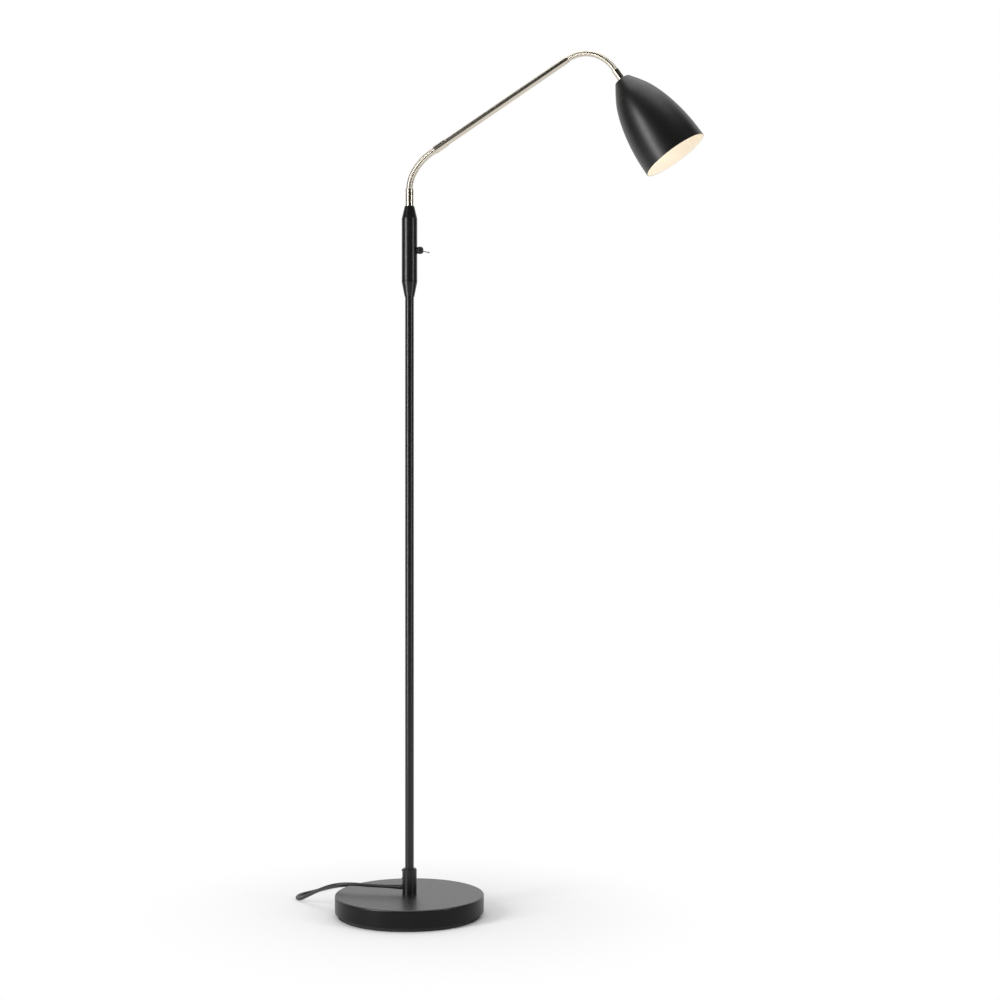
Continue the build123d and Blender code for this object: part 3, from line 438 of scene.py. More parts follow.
class LAMP_OT_stage(bpy.types.Operator):
    """Floor, white surroundings, softboxes and the camera"""
    bl_idname = "lamp.stage"
    bl_label = "Stage"

    def execute(self, context):
        scene = context.scene
        scene.view_settings.view_transform = "Standard"

        # floor: a disc of radius r at z = 0, thin enough to hide its edge
        rim = np.array(((5000.0, -2.0), (5000.0, 0.0), (1800.0, 0.0), (600.0, 0.0)))
        floor = skin("floor", turned(lean(*POLE), rim), sharp=10.0)
        paper = bpy.data.materials.new("paper")
        paper.use_nodes = True
        nodes, link = paper.node_tree.nodes, paper.node_tree.links.new
        nodes.remove(nodes["Principled BSDF"])
        matt = nodes.new("ShaderNodeBsdfDiffuse")
        matt.inputs["Color"].default_value = FLOOR_SHADE
        glow = nodes.new("ShaderNodeEmission")
        glow.inputs["Color"].default_value = WHITE
        place = nodes.new("ShaderNodeTexCoord")
        away = nodes.new("ShaderNodeVectorMath")
        away.operation = "LENGTH"
        link(place.outputs["Object"], away.inputs[0])
        fade = nodes.new("ShaderNodeMapRange")
        fade.interpolation_type = "SMOOTHSTEP"
        fade.inputs["From Min"].default_value = FLOOR_FADE[0]
        fade.inputs["From Max"].default_value = FLOOR_FADE[1]
        link(away.outputs["Value"], fade.inputs["Value"])
        seen = nodes.new("ShaderNodeMath")
        seen.operation = "MULTIPLY"
        link(fade.outputs["Result"], seen.inputs[0])
        link(rays_that_see_white(nodes, link), seen.inputs[1])
        mix = nodes.new("ShaderNodeMixShader")
        link(seen.outputs[0], mix.inputs["Fac"])
        link(matt.outputs[0], mix.inputs[1])
        link(glow.outputs[0], mix.inputs[2])
        link(mix.outputs[0], nodes["Material Output"].inputs["Surface"])
        floor.data.materials.append(paper)

        world = bpy.data.worlds.new("surroundings")
        scene.world = world
        world.use_nodes = True
        nodes, link = world.node_tree.nodes, world.node_tree.links.new
        even = nodes["Background"]
        even.inputs["Color"].default_value = WHITE
        even.inputs["Strength"].default_value = WORLD_LIGHT
        white = nodes.new("ShaderNodeBackground")
        white.inputs["Color"].default_value = WHITE
        white.inputs["Strength"].default_value = 1.0
        mix = nodes.new("ShaderNodeMixShader")
        link(rays_that_see_white(nodes, link), mix.inputs["Fac"])
        link(even.outputs[0], mix.inputs[1])
        link(white.outputs[0], mix.inputs[2])
        link(mix.outputs[0], nodes["World Output"].inputs["Surface"])

        for light in LIGHTS:
            softbox(*light)
        self.dark_wall()

        lens = bpy.data.cameras.new("camera")
        lens.lens = CAMERA_LENS
        lens.sensor_width = 36.0
        camera = bpy.data.objects.new("camera", lens)
        camera.location = CAMERA_PLACE
        camera.rotation_euler = (math.pi / 2, 0.0, CORD_TURN)
        scene.collection.objects.link(camera)
        scene.camera = camera
        return {"FINISHED"}

    def dark_wall(self):
        """A dark curved wall in front, seen only in reflections: x = r sin(a), y = -r cos(a)."""
        angle = np.radians(np.linspace(-WALL_SPAN, WALL_SPAN, WALL_STEPS)) + CORD_TURN
        arc = np.stack((np.sin(angle), -np.cos(angle), np.zeros(WALL_STEPS)), -1)
        radius = np.array((WALL_RADIUS, WALL_RADIUS, WALL_RADIUS + 20.0, WALL_RADIUS + 20.0))
        height = np.array((0.0, WALL_HEIGHT, WALL_HEIGHT, 0.0))
        grid = arc[:, None] * radius[None, :, None]
        grid[..., 2] = height
        wall = skin("dark_wall", grid)
        cloth = bpy.data.materials.new("dark_cloth")
        cloth.use_nodes = True
        nodes = cloth.node_tree.nodes
        shader = nodes["Principled BSDF"]
        shader.inputs["Base Color"].default_value = (0.02, 0.02, 0.02, 1.0)
        shader.inputs["Roughness"].default_value = 1.0
        shader.inputs["Specular IOR Level"].default_value = 0.0
        wall.data.materials.append(cloth)
        wall.visible_camera = False
        wall.visible_diffuse = False
        wall.visible_shadow = False
        wall.visible_transmission = False


# ---- mains cord -------------------------------------------------------------------------------

FLOOR = 2.75
HANK_LOW = 3.75
LAYER_STEP = 6.05
HANK_CENTRE = np.array((-12.0, 168.0))
HALF_RUN = 41.0
HALF_WIDTH = 26.1
WIDTH_STEP = 6.2
HALF_TURNS = 8
WAIST_INSET = 6.0
WAIST_LEAN = math.atan2(WAIST_INSET, HALF_RUN)
WAIST_REACH = 14.6
CLIMB_REACH = 34.0
BEND_POINTS = 7


def on_cord_axes(points):
    """Points given along and across the hank, in the part's frame: turned by the cord's angle."""
    x, y, z = np.array(points, float).T
    return np.stack((x * math.cos(CORD_TURN) - y * math.sin(CORD_TURN),
                     x * math.sin(CORD_TURN) + y * math.cos(CORD_TURN), z), -1)


def off_cord_axes(x, y, z):
    """A point of the part's frame, given along and across the hank: the turn the other way."""
    return (x * math.cos(CORD_TURN) + y * math.sin(CORD_TURN),
            y * math.cos(CORD_TURN) - x * math.sin(CORD_TURN), z)


def side_of(run):
    """Signed distance of a run's ends from the hank's middle line: turns go in, then out again."""
    inset = min(run, HALF_TURNS - run) // 2
    return (1 if run % 2 == 0 else -1) * (HALF_WIDTH - WIDTH_STEP * inset)


def hank_loops():
    """Points of the hank's turns.

    A run goes straight in to the waist and out again. A bend is part of a circle of radius r about the
    end, and its points stand r / cos(step / 2) from the middle, so that the curve touches the circle.
    """
    rows = []
    for run in range(HALF_TURNS + 1):
        heading = 1 if run % 2 == 0 else -1
        side = math.copysign(1, side_of(run))
        climbing = run == HALF_TURNS // 2
        base = HANK_LOW + (LAYER_STEP if run >= HALF_TURNS // 2 else 0.0)
        near = np.array((-WAIST_REACH, 0.0, WAIST_REACH))
        if run == 0:
            near = np.array((0.0, WAIST_REACH))
        if run > 0:
            near = np.concatenate(((-CLIMB_REACH,), near))
        if run < HALF_TURNS:
            near = np.concatenate((near, (CLIMB_REACH,)))
        else:
            near = near[:-1]
        y = side_of(run) - side * WAIST_INSET * (1 - np.abs(near) / HALF_RUN)
        z = np.full(len(near), base)
        if climbing:
            z = HANK_LOW + LAYER_STEP * np.clip((near + CLIMB_REACH) / (2 * CLIMB_REACH), 0, 1)
        rows.append(np.stack((HANK_CENTRE[0] + heading * near, HANK_CENTRE[1] + y, z), -1))
        if run == HALF_TURNS:
            break
        radius = abs(side_of(run) - side_of(run + 1)) / (2 * math.cos(WAIST_LEAN))
        middle = (side_of(run) + side_of(run + 1)) / 2
        step = (math.pi + 2 * WAIST_LEAN) / BEND_POINTS
        turn = math.pi / 2 + WAIST_LEAN - step * (np.arange(BEND_POINTS) + 0.5)
        wide = radius / math.cos(step / 2)
        centre_x = HALF_RUN + radius * math.sin(WAIST_LEAN)
        rows.append(np.stack((HANK_CENTRE[0] + heading * (centre_x + wide * np.cos(turn)),
                              HANK_CENTRE[1] + middle + side * wide * np.sin(turn),
                              np.full(BEND_POINTS, base)), -1))
    return np.concatenate(rows)


RUN_POINTS = [
    off_cord_axes(-34.0, 0.0, 44.4), off_cord_axes(-63.0, 0.0, 44.4), (-98, 18.5, 46.2), (-124, 29, 42),
    (-146, 50, 31), (-168, 78, 15.5), (-186, 96, 3.4), (-193.6, 112, FLOOR), (-191.5, 130, FLOOR),
    (-183, 143, FLOOR), (-168, 161, FLOOR), (-150, 188, FLOOR), (-130, 206, FLOOR), (-104, 210, FLOOR),
    (-78.72, 197.86, HANK_LOW), (-53.0, 194.1, HANK_LOW)]
TAIL_POINTS = [
    (29.0, 194.1, HANK_LOW + LAYER_STEP), (43.84, 196.27, HANK_LOW + LAYER_STEP),
    (58.4, 192.8, 7.6), (70.7, 184.2, 5.4), (79.0, 171.7, 6.8), (82.2, 157.1, 6.8)]


class LAMP_OT_cord(bpy.types.Operator):
    """Mains cord with its hank, tie and plug"""
    bl_idname = "lamp.cord"
    bl_label = "Mains cord"

    def execute(self, context):
        sizes = context.scene.lamp_sizes
        points = on_cord_axes(np.concatenate((RUN_POINTS, hank_loops(), TAIL_POINTS)))
        cord = bent_curve("mains_cord", points, sizes.cord_diameter / 2 / MM, CORD_ROUNDNESS)
        fit(cord, "stand", "cord_sheath", known("cord_skin"), "cord_run", "cord_hank", "cord_tail")

        plug = self.plug()
        pins = self.pins()
        tie = self.tie()
        return {"FINISHED"}

    def plug_axes(self):
        """Rear, left and ahead of the plug, which carries on along the cord's last run."""
        before, rear = on_cord_axes(TAIL_POINTS[-2:])
        ahead = unit(rear - before)
        return rear, np.array((ahead[1], -ahead[0], 0.0)), ahead

    def plug(self):
        """Flat moulded plug, |x/w|^n + |z/h|^n = 1 across it, from a ribbed boot to a square face."""
        rear, across, ahead = self.plug_axes()
        rows = np.array((
            # along, half width, half height, squareness
            (-14.0, 3.05, 3.05, 2.0), (-13.6, 3.4, 3.4, 2.0), (-11.6, 3.5, 3.5, 2.0),
            (-11.2, 3.1, 3.1, 2.0), (-10.2, 3.1, 3.1, 2.0), (-9.8, 3.7, 3.7, 2.0),
            (-7.8, 3.85, 3.85, 2.0), (-7.4, 3.3, 3.3, 2.0), (-6.4, 3.3, 3.3, 2.0),
            (-6.0, 4.1, 4.1, 2.0), (-4.0, 4.3, 4.3, 2.0), (-3.6, 3.6, 3.6, 2.0),
            (-2.6, 3.6, 3.6, 2.0), (-2.0, 4.8, 4.6, 2.1), (0.0, 5.9, 5.2, 2.3), (3.0, 7.4, 5.9, 2.6),
            (7.0, 10.0, 6.4, 3.0), (11.0, 12.8, 6.7, 3.3), (14.5, 15.2, 6.8, 3.7),
            (18.0, 16.9, 6.8, 4.0), (21.0, 17.5, 6.8, 4.4), (31.0, 17.5, 6.8, 4.6),
            (33.5, 17.3, 6.7, 4.6), (34.6, 16.7, 6.2, 4.6), (35.0, 15.8, 5.4, 4.6)))
        turn = np.arange(SMALL * 2) * math.tau / (SMALL * 2)
        c, s = np.cos(turn), np.sin(turn)
        along, wide, tall, square = (rows[:, i:i + 1] for i in range(4))
        x = wide * np.sign(c) * np.abs(c) ** (2 / square)
        z = tall * np.sign(s) * np.abs(s) ** (2 / square)
        grid = rear + along[..., None] * ahead + x[..., None] * across
        grid[..., 2] += z
        return fit(skin("mains_plug", grid, sharp=50.0), "stand", "black_plastic",
                   known("moulded_black"), "plug_body")

    def pins(self):
        """Two round pins with domed ends, joined in one piece."""
        rear, across, ahead = self.plug_axes()
        profile = eased((1.9, -2.0), (2.0, 0.0, 0.1), (2.0, 18.0, 1.4), (0.4, 18.0))
        made = []
        for number, offset in enumerate((-9.3, 9.3)):
            foot = rear + 35.0 * ahead + offset * across
            place = (foot, across, np.array((0.0, 0.0, 1.0)), ahead)
            made.append(skin(f"plug_pin_{number + 1}", turned(place, profile, 32)))
        first = fit(made[0], "stand", "plated_pins", known("pin_plate"), "plug_pins")
        second = fit(made[1], "stand", "plated_pins", known("pin_plate"))
        second.parent = first
        return first

    def tie(self):
        """A flat strap round the hank's waist, along a rounded box: |y/a|^n + |z/b|^n = 1."""
        half_width = HALF_WIDTH - WAIST_INSET + FLOOR + 0.8
        top = HANK_LOW + LAYER_STEP + FLOOR + 0.55
        turn = np.arange(128) * math.tau / 128
        c, s = np.cos(turn), np.sin(turn)
        section = np.array(((0.0, -2.5), (0.0, 2.5), (0.45, 2.8),
                            (0.9, 2.5), (0.9, -2.5), (0.45, -2.8)))
        out, along = section[:, :1], section[:, 1:]
        power = 2 / 9.0
        y = (half_width - 0.5 + out) * np.sign(c) * np.abs(c) ** power
        z = top / 2 + (top / 2 - 0.9 + out) * np.sign(s) * np.abs(s) ** power
        x = np.broadcast_to(along, y.shape)
        grid = np.stack((HANK_CENTRE[0] + x, HANK_CENTRE[1] + y, z), -1)
        grid = on_cord_axes(grid.reshape(-1, 3)).reshape(grid.shape)
        return fit(skin("hank_tie", grid, closed=True), "stand", "black_plastic",
                   known("moulded_black"), "cord_tie")


# ---- base, collar and pole --------------------------------------------------------------------

class LAMP_OT_base(bpy.types.Operator):
    """Drawn steel cover and foam foot"""
    bl_idname = "lamp.base"
    bl_label = "Base"

    def execute(self, context):
        upright = lean(*POLE)
        cover = eased((5.1, 34.0), (60.0, 34.0), (119.0, 34.0, 2.6), (119.0, 7.0, 0.5),
                      (117.5, 7.0, 0.5), (117.5, 32.5, 2.0), (60.0, 32.5), (5.1, 32.5))
        shell = skin("base_shell", turned(upright, cover, 256), closed=True)
        fit(shell, "stand", "black_powder_coat", known("base_top_sheen_coat"), "base_cover")
        # the faces below the top take the duller copy of the same black coat: painted shade on the rim
        shell.data.materials.append(known("base_rim_shade_coat"))
        middle = np.empty(len(shell.data.polygons) * 3)
        shell.data.polygons.foreach_get("center", middle)
        shaded_rim_faces = middle.reshape(-1, 3)[:, 2] < 0.0325
        shell.data.polygons.foreach_set("material_index", shaded_rim_faces.astype(np.int32))

        # foam disc, cut by hand: its edge wanders by about a millimetre
        turn = np.arange(256) * math.tau / 256
        wander = (1 + 0.005 * np.sin(3 * turn + 0.8) + 0.003 * np.sin(7 * turn)
                  + 0.002 * np.sin(13 * turn))
        disc = eased((4.0, 0.0), (60.0, 0.0), (113.6, 0.0, 0.9), (114.2, 3.5, 1.0), (113.4, 6.95, 0.6),
                     (60.0, 6.95), (4.0, 6.95))
        pad = skin("foot_disc", turned(upright, disc, 256, wander))
        fit(pad, "stand", "foot_rubber", known("foot_foam"), "foot_pad")
        return {"FINISHED"}


class LAMP_OT_collar(bpy.types.Operator):
    """Collar, its two set screws and the cord's strain relief"""
    bl_idname = "lamp.collar"
    bl_label = "Collar"

    def execute(self, context):
        profile = eased((5.1, 34.0), (11.9, 34.0, 0.2), (11.9, 34.9, 0.3), (11.5, 35.3, 0.2),
                        (11.6, 73.4, 0.3), (11.1, 74.0, 0.3), (10.4, 75.0, 0.4), (7.1, 75.0, 0.3),
                        (7.1, 50.0), (5.1, 50.0))
        fit(skin("pole_collar", turned(lean(*POLE), profile), closed=True),
            "stand", "black_powder_coat", known("powder_coat"), "collar")

        # a hexagon socket: its radius is a / cos(angle from the nearest flat's middle)
        turn = np.arange(SMALL) * math.tau / SMALL
        socket = 0.95 / np.cos((turn + math.pi / 6) % (math.pi / 3) - math.pi / 6)
        body = eased((1.65, 0.0), (1.65, 5.6, 0.3), (1.25, 5.6, 0.05))
        screws = []
        for number, height in enumerate((58.1, 71.5)):
            place = facing(-7.0, height, -1)
            outer = turned(place, body, SMALL)
            inner = [turned(place, np.array(((1.0, depth),)), SMALL, socket) for depth in (5.6, 4.2)]
            screws.append(skin(f"set_screw_{number + 1}", np.concatenate((outer, *inner))))
        fit(screws[0], "stand", "black_screw", known("blackened_steel"), "set_screws")
        fit(screws[1], "stand", "black_screw", known("blackened_steel"))

        # relief: a flange against the collar, then a cone with four shallow rings
        rings = []
        for start in (11.5, 15.5, 19.5, 23.5):
            wide = 3.9 - 0.9 * (start - 9.0) / 19.0
            rings += [(wide, start, 0.3), (wide - 0.45, start + 0.5, 0.3),
                      (wide - 0.5, start + 1.5, 0.3), (wide - 0.1, start + 2.0, 0.3)]
        profile = eased((1.6, 0.0), (3.5, 0.0, 0.3), (3.5, 5.8), (3.9, 6.2, 0.2), (3.9, 9.6, 0.4),
                        *rings, (3.0, 28.0, 0.15), (1.6, 28.0))
        fit(skin("cord_relief", turned(facing(-6.0, 44.4, -1), profile, SMALL), closed=True),
            "stand", "black_plastic", known("moulded_black"), "strain_relief")
        return {"FINISHED"}


class LAMP_OT_pole(bpy.types.Operator):
    """The two lengths of pole"""
    bl_idname = "lamp.pole"
    bl_label = "Pole"

    def execute(self, context):
        lengths = (("lower_pole_tube", 50.0, 518.0, "lower_pole"),
                   ("upper_pole_tube", 518.0, 1003.0, "upper_pole"))
        for name, low, high, node in lengths:
            profile = eased((6.0, low), (7.0, low, 0.3), (7.0, high, 0.35), (6.0, high))
            fit(skin(name, turned(lean(*POLE), profile), closed=True),
                "stand", "black_powder_coat", known("powder_coat"), node)
        return {"FINISHED"}


class LAMP_OT_housing(bpy.types.Operator):
    """Switch housing: tube and two conical caps"""
    bl_idname = "lamp.housing"
    bl_label = "Switch housing"

    def execute(self, context):
        parts = (
            ("lower_cap", "housing_lower_cap", eased(
                (7.1, 989.0), (7.75, 989.0, 0.25), (12.5, 1012.6, 1.2), (12.5, 1013.0, 0.1),
                (10.9, 1013.0), (10.9, 1021.0), (7.1, 1021.0))),
            ("switch_tube", "housing_tube", eased(
                (11.0, 1013.05), (12.5, 1013.05, 0.12), (12.5, 1113.95, 0.12), (11.0, 1113.95))),
            ("upper_cap", "housing_upper_cap", eased(
                (5.1, 1106.0), (10.9, 1106.0), (10.9, 1114.0), (12.5, 1114.0, 0.25),
                (7.75, 1134.0, 0.4), (5.1, 1134.0))))
        for name, node, profile in parts:
            fit(skin(name, turned(lean(*POLE), profile), closed=True),
                "stand", "black_powder_coat", known("powder_coat"), node)
        return {"FINISHED"}


class LAMP_OT_switch(bpy.types.Operator):
    """Toggle switch: washer, round nut and lever"""
    bl_idname = "lamp.switch"
    bl_label = "Toggle switch"

    def execute(self, context):
        washer = eased((3.03, 0.0), (5.3, 0.0, 0.2), (5.3, 1.5, 0.3), (3.03, 1.5))
        fit(skin("nut_washer", turned(facing(12.5, 1063.0), washer, SMALL), closed=True),
            "stand", "black_screw", known("blackened_steel"), "switch_washer")

        # round nut, its edge cut by 32 fine flutes: r (1 - d |cos(16 a)|)
        turn = np.arange(256) * math.tau / 256
        flutes = 1 - 0.028 * np.abs(np.cos(16 * turn))
        profile = eased((3.03, 0.0), (5.0, 0.0, 0.5), (6.0, 1.6, 0.9), (6.0, 5.2, 1.4), (4.4, 8.0, 1.2),
                        (3.6, 8.0, 0.2), (3.03, 7.3))
        place = facing(14.0, 1063.0)
        grid = turned(place, profile, 256)
        outward = grid - place[0]
        outward[..., 0] = 0
        reach = np.linalg.norm(outward, axis=-1, keepdims=True)
        share = np.clip((reach - 5.0) / 0.8, 0, 1)
        grid = grid - outward * share * (1 - flutes)[None, :, None]
        fit(skin("fluted_nut", grid, closed=True, sharp=60.0),
            "stand", "black_screw", known("blackened_steel"), "switch_nut")

        tilt = lean(16.0, 1063.0, -14.0)
        lever = eased((0.5, -1.25), (1.15, -0.9, 0.3), (1.15, 0.9, 0.5), (0.95, 2.0, 0.6), (0.9, 11.0),
                      (1.05, 13.5, 0.8), (1.25, 15.6, 0.7), (1.15, 16.9, 0.4), (0.3, 17.45))
        fit(skin("switch_lever", turned(tilt, lever, SMALL)),
            "toggle", "zinc_steel", known("dull_zinc"), "toggle_lever")
        return {"FINISHED"}


# ---- arm and goosenecks -----------------------------------------------------------------------

class LAMP_OT_arm(bpy.types.Operator):
    """Ferrules, sleeve and the straight arm"""
    bl_idname = "lamp.arm"
    bl_label = "Arm and ferrules"

    def execute(self, context):
        lower = eased((2.5, 1124.0), (5.0, 1124.0, 0.3), (5.0, 1134.0), (6.5, 1134.02, 0.2),
                      (6.5, 1161.2, 0.4), (6.0, 1162.0, 0.3), (5.4, 1162.0, 0.2), (5.4, 1150.0),
                      (2.5, 1150.0))
        fit(skin("lower_ferrule_tube", turned(lean(*POLE), lower), closed=True),
            "stand", "satin_nickel", known("nickel_upright"), "lower_ferrule")
        sleeve = eased((5.58, 0.0), (6.1, 0.0, 0.2), (6.4, 0.5, 0.3), (6.4, 22.9, 0.3), (6.1, 23.4, 0.2),
                       (5.58, 23.4))
        fit(skin("arm_sleeve", turned(lean(*SLEEVE), sleeve), closed=True),
            "arm", "satin_nickel", known("nickel_arm"), "sleeve")
        rod = eased((4.8, 0.0), (5.5, 0.0, 0.2), (5.5, ARM_LENGTH - 0.4, 0.5),
                    (5.0, ARM_LENGTH, 0.2), (4.8, ARM_LENGTH))
        fit(skin("arm_rod", turned(lean(*ARM), rod), closed=True),
            "arm", "satin_nickel", known("nickel_arm"), "arm_tube")
        upper = eased((4.83, 0.0), (5.2, 0.0, 0.2), (5.6, 0.5, 0.3), (5.6, 19.0, 0.1), (4.5, 19.0),
                      (4.5, 31.0, 0.2), (2.5, 31.0), (2.5, 12.0), (4.83, 12.0))
        fit(skin("head_ferrule", turned(lean(*HEAD), upper), closed=True),
            "head", "satin_nickel", known("nickel_head"), "upper_ferrule")
        return {"FINISHED"}


# for the third length of each gooseneck, the near and far ends are swapped
MIDDLE_JOINT = 2
NECK_OVERLAP = 5.0
NECK_SIDES = 32
NECK_TIP = 7.0
LENGTH_STEPS = 56
TAIL_STEPS = 41


def curved_line(before, pivot, after, steps):
    """The curve (1-t)^2 A + 2t(1-t) P + t^2 B from A to B, pulled towards the pivot P."""
    t = np.linspace(0.0, 1.0, steps)[:, None]
    return (1 - t) ** 2 * before + 2 * t * (1 - t) * pivot + t ** 2 * after


def hose(prefix, radius, start, end, tail_heading, nodes):
    """One gooseneck as ribbed lengths, each bending about one pivot from mid-link to mid-link.

    The rib's radius is R - d (1 - sqrt(1 - u^2)), where u runs from -1 to 1 over each turn.
    """
    sizes = bpy.context.scene.lamp_sizes
    joints = [j for j in frame["joints"] if j["name"].startswith(prefix)]
    pivots = np.array([j["pos_m"] for j in joints]) / MM
    middles = (pivots[:-1] + pivots[1:]) / 2
    angle = math.radians(tail_heading)
    ahead = np.array((math.cos(angle), 0.0, math.sin(angle)))
    starts = np.vstack((start, middles))
    ends = np.vstack((middles, pivots[-1] + NECK_TIP * ahead))
    travelled = 0.0
    for number, (joint, pivot, first, last) in enumerate(zip(joints, pivots, starts, ends)):
        line = curved_line(first, pivot, last, LENGTH_STEPS)
        if number == 0:
            back = unit(first - pivot)
            line = np.vstack((first + NECK_OVERLAP * back, first + 0.5 * NECK_OVERLAP * back, line))
        if number == len(joints) - 1:
            reach = np.linalg.norm(end - last) + NECK_OVERLAP
            tail = np.linspace(0, reach, TAIL_STEPS)[1:, None]
            line = np.vstack((line, last + tail * ahead))
        lengths = np.concatenate(((0,), np.cumsum(np.linalg.norm(np.diff(line, axis=0), axis=1))))
        turn = np.arange(NECK_SIDES) * math.tau / NECK_SIDES
        phase = (travelled + lengths[:, None]) / (sizes.rib_pitch / MM) + turn[None] / math.tau
        u = 2 * (phase % 1) - 1
        wide = radius - sizes.rib_depth / MM * (1 - np.sqrt(np.maximum(0.0, 1 - u ** 2)))
        travelled += lengths[-1]
        piece = skin(f"{prefix}neck_{number + 1}", tube(line, wide, NECK_SIDES), sharp=75.0)
        fit(piece, None, "satin_nickel", known("nickel_wound"), *nodes[number])
        near, far = (joint["parent"], tuple(first * MM)), (joint["child"], tuple(last * MM))
        if number == MIDDLE_JOINT:
            near, far = far, near
        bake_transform(piece)


class LAMP_OT_goosenecks(bpy.types.Operator):
    """Both wound steel goosenecks"""
    bl_idname = "lamp.goosenecks"
    bl_label = "Goosenecks"

    def execute(self, context):
        hose("lower_", 5.35, (0.0, 0.0, 1162.0), (41.33, 0.0, 1221.71), 32.3,
             (("lower_neck_root",), ("lower_neck_link_1",), ("lower_neck_link_2",),
              ("lower_neck_link_3",), ("lower_neck_link_4", "lower_neck_tip")))
        hose("upper_", 4.75, (255.86, 0.0, 1357.33), (330.63, 0.0, 1337.16), -55.4,
             (("upper_neck_root",), ("upper_neck_link_1",), ("upper_neck_link_2",),
              ("upper_neck_link_3",), ("upper_neck_link_4",), ("upper_neck_link_5", "upper_neck_tip")))
        return {"FINISHED"}


# ---- head -------------------------------------------------------------------------------------

SHADE_SIDES = 192
SHADE_RINGS = 8
THREAD_STEPS = 89


def shade_curve(steps=90):
    """(radius, depth) of the shade's outside: a cubic between rings, by the distance along them."""
    rings = [(10.0, 0.0), (13.0, 1.0), (14.6, 3.4)]
    for i in range(2, SHADE_RINGS + 1):
        share = (i / SHADE_RINGS) ** 1.6
        rings.append((3.0 + 50.3 * (1 - (1 - share) ** 2) ** 0.588, share * 147.0))
    rings = np.array(rings)
    along = np.concatenate(((0,), np.cumsum(np.linalg.norm(np.diff(rings, axis=0), axis=1))))
    slope = np.gradient(rings, along, axis=0)
    at = along[-1] * np.linspace(0.0, 1.0, steps) ** 1.3
    k = np.clip(np.searchsorted(along, at, side="right") - 1, 0, len(along) - 2)
    gap = (along[k + 1] - along[k])[:, None]
    t = (at - along[k])[:, None] / gap
    return ((2 * t ** 3 - 3 * t ** 2 + 1) * rings[k] + (t ** 3 - 2 * t ** 2 + t) * gap * slope[k]
            + (3 * t ** 2 - 2 * t ** 3) * rings[k + 1] + (t ** 3 - t ** 2) * gap * slope[k + 1])


class LAMP_OT_shade(bpy.types.Operator):
    """Spun shade, black outside and enamelled inside, with its clamp nut"""
    bl_idname = "lamp.shade"
    bl_label = "Shade"

    def execute(self, context):
        outside = shade_curve()
        along = unit(np.gradient(outside, axis=0))
        inward = np.stack((-along[:, 1], along[:, 0]), -1)
        inside = (outside + inward)[4:-1][::-1]
        lip = np.array(((53.25, 147.0), (52.95, 147.3), (52.55, 147.3), (52.3, 147.0)))
        hole = np.array(((4.6, inside[-1, 1]), (4.6, 0.0)))
        profile = np.concatenate((outside[:-1], lip, inside, hole))
        black_rings = len(outside) + 1
        shade = skin("shade_spinning", turned(lean(*CROWN), profile, SHADE_SIDES), closed=True)
        fit(shade, "head", "black_powder_coat", known("shade_coat"), "shade")
        shade.data.materials.append(known("lining_enamel"))
        ring = np.arange(len(shade.data.polygons)) // SHADE_SIDES
        inner = (ring >= black_rings) & (ring < len(profile) - 2)
        shade.data.polygons.foreach_set("material_index", inner.astype(np.int32))

        turn = np.arange(SMALL * 2) * math.tau / (SMALL * 2)
        hexagon = 1 / np.cos(turn % (math.pi / 3) - math.pi / 6)
        nut = np.array(((7.2, 0.0), (7.36, 0.3), (7.36, 2.7), (7.2, 3.0)))
        place = lean(*CROWN)
        seat = float(inside[-1, 1])
        seated = (place[0] + seat * place[3], *place[1:])
        outer = turned(seated, nut, SMALL * 2, hexagon)
        bore = turned(seated, np.array(((4.58, 3.0), (4.58, 0.0))), SMALL * 2)
        fit(skin("clamp_nut", np.concatenate((outer, bore)), closed=True),
            "head", "zinc_steel", known("zinc_plate"), "shade_clamp_nut")
        return {"FINISHED"}


class LAMP_OT_bulb(bpy.types.Operator):
    """Lampholder and bulb"""
    bl_idname = "lamp.bulb"
    bl_label = "Lampholder and bulb"

    def execute(self, context):
        crown = lean(*CROWN)
        ribs = []
        for start in np.arange(26.0, 46.0, 4.0):
            ribs += [(14.0, start, 0.3), (13.3, start + 0.7, 0.3), (13.3, start + 1.7, 0.3),
                     (14.0, start + 2.4, 0.3)]
        holder = eased((4.58, 8.0), (11.0, 8.0, 1.5), (14.0, 11.0, 2.0), *ribs, (14.0, 50.0, 0.8),
                       (7.2, 50.0, 0.6), (7.2, 22.0), (4.58, 22.0))
        fit(skin("bulb_holder", turned(crown, holder), closed=True),
            "head", "black_plastic", known("moulded_black"), "lampholder")

        # screw cap: a helix of rounded thread, r - d (1 + cos(2 pi (h / pitch) - a)) / 2
        height = np.linspace(28.0, 50.0, THREAD_STEPS)
        turn = np.arange(SMALL) * math.tau / SMALL
        radius = 6.9 - 0.3 * (1 + np.cos(math.tau * height[:, None] / 2.8 - turn)) / 2
        thread = turned(crown, np.stack((np.ones(THREAD_STEPS), height), -1), SMALL)
        thread = thread + (radius - 1)[..., None] * unit(thread - thread.mean(1, keepdims=True))
        tip = turned(crown, np.array(((2.0, 25.0), (4.1, 25.4), (5.6, 26.6))), SMALL)
        fit(skin("bulb_screw_cap", np.concatenate((tip, thread))),
            "head", "zinc_steel", known("zinc_plate"), "bulb_cap")

        # globe: a sphere drawn in to its neck
        angle = np.radians(np.linspace(150.0, 2.0, 60))
        globe = np.stack((22.5 * np.sin(angle), 79.5 + 22.5 * np.cos(angle)), -1)
        neck = np.array(((9.0, 50.3), (9.0, 53.0), (9.2, 55.5), (9.9, 58.2)))
        fit(skin("bulb_globe", turned(crown, np.concatenate((neck, globe[globe[:, 0] > 11.2])))),
            "head", "opal_globe", known("opal_glass"), "bulb_glass")
        return {"FINISHED"}


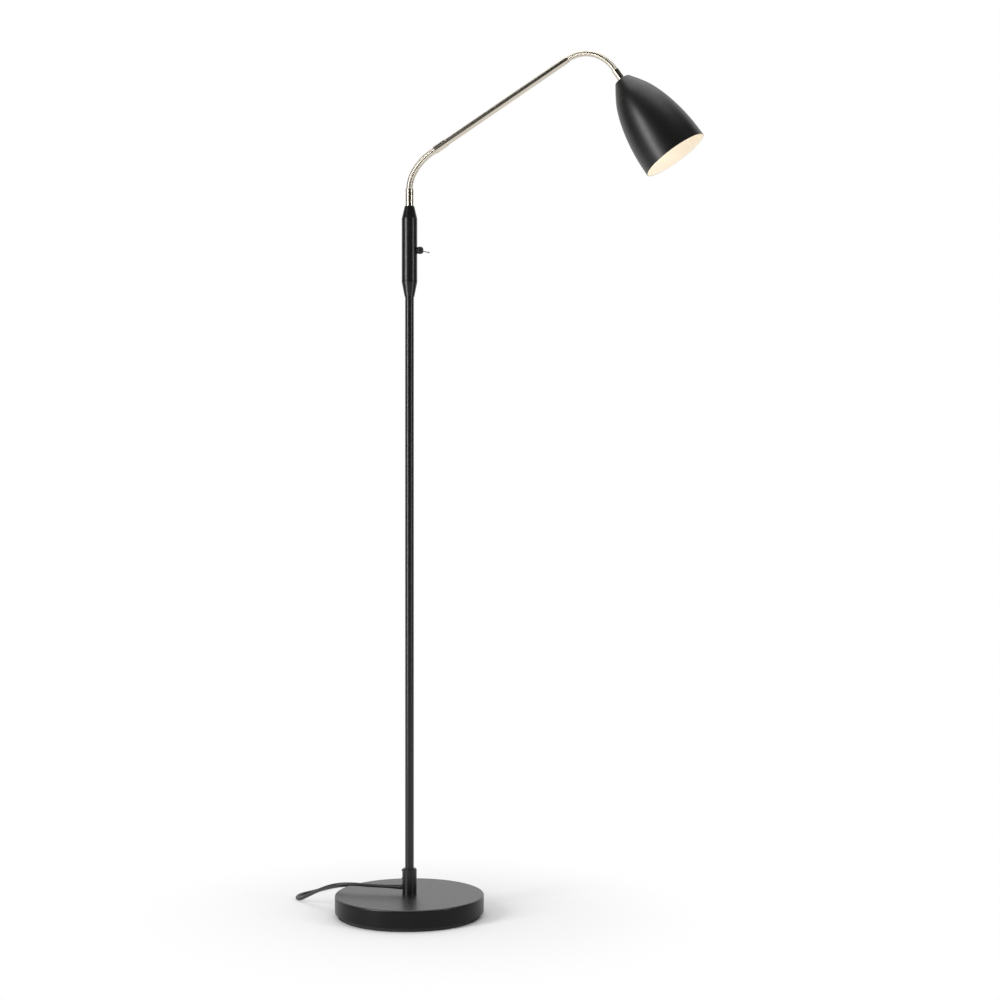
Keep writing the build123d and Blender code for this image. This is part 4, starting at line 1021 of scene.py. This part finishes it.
class LAMP_OT_inside(bpy.types.Operator):
    """Wires in the pole and arm, and finishes on the fittings that keep their CAD shape"""
    bl_idname = "lamp.inside"
    bl_label = "Hidden fittings"

    def execute(self, context):
        wires = (
            ("supply_wire", "stand", "supply_lead",
             ((-34, 0, 44.4), (-8, 0, 44.4), (0, 0, 44.4), (0, 0, 52.4), (0, 0, 1015), (0, 0, 1023),
              (-6.5, 0, 1043), (-6.5, 0, 1050), (-6.5, 0, 1060))),
            ("switch_wire", "stand", "switch_lead",
             ((-6.5, 0, 1066), (-6.5, 0, 1076), (-6.5, 0, 1083), (0, 0, 1103), (0, 0, 1110),
              (0, 0, 1162))),
            ("arm_wire", "arm", "arm_lead",
             ((52.32, 0, 1228.66), (150.0, 0, 1290.41), (244.87, 0, 1350.38))))
        for name, body, node, route in wires:
            wire = bent_curve(name, np.array(route, float), WIRE_RADIUS, WIRE_ROUNDNESS)
            fit(wire, body, "cord_sheath", known("cord_skin"), node)
        kept = {"base_weight": "rough_casting", "fixing_washer": "zinc_plate",
                "fixing_nut": "zinc_plate", "fixing_stud": "zinc_plate", "pole_joiner": "zinc_plate",
                "switch_body": "moulded_black"}
        for node, name in kept.items():
            mesh = frame["nodes"][node].data
            mesh.materials.clear()
            mesh.materials.append(known(name))
        return {"FINISHED"}


STEPS = ("stage", "cord", "base", "collar", "pole", "housing", "switch", "arm", "goosenecks", "shade",
         "bulb", "inside")


class LAMP_PT_panel(bpy.types.Panel):
    """The lamp's steps, sizes and colours"""
    bl_idname = "LAMP_PT_panel"
    bl_label = "Gooseneck floor lamp"
    bl_space_type = "VIEW_3D"
    bl_region_type = "UI"
    bl_category = "Lamp"

    def draw(self, context):
        for step in STEPS:
            self.layout.operator(f"lamp.{step}")
        for group in (context.scene.lamp_sizes, context.scene.lamp_colours):
            for name in group.bl_rna.properties.keys():
                if name not in ("rna_type", "name"):
                    self.layout.prop(group, name)


CLASSES = (LampSizes, LampColours, LAMP_OT_stage, LAMP_OT_cord, LAMP_OT_base, LAMP_OT_collar,
           LAMP_OT_pole, LAMP_OT_housing, LAMP_OT_switch, LAMP_OT_arm, LAMP_OT_goosenecks,
           LAMP_OT_shade, LAMP_OT_bulb, LAMP_OT_inside, LAMP_PT_panel)


def register():
    for cls in CLASSES:
        bpy.utils.register_class(cls)
    bpy.types.Scene.lamp_sizes = PointerProperty(type=LampSizes)
    bpy.types.Scene.lamp_colours = PointerProperty(type=LampColours)


def unregister():
    del bpy.types.Scene.lamp_colours
    del bpy.types.Scene.lamp_sizes
    for cls in reversed(CLASSES):
        bpy.utils.unregister_class(cls)


def main():
    register()
    for step in STEPS:
        getattr(bpy.ops.lamp, step)()


if __name__ == "__main__":
    main()
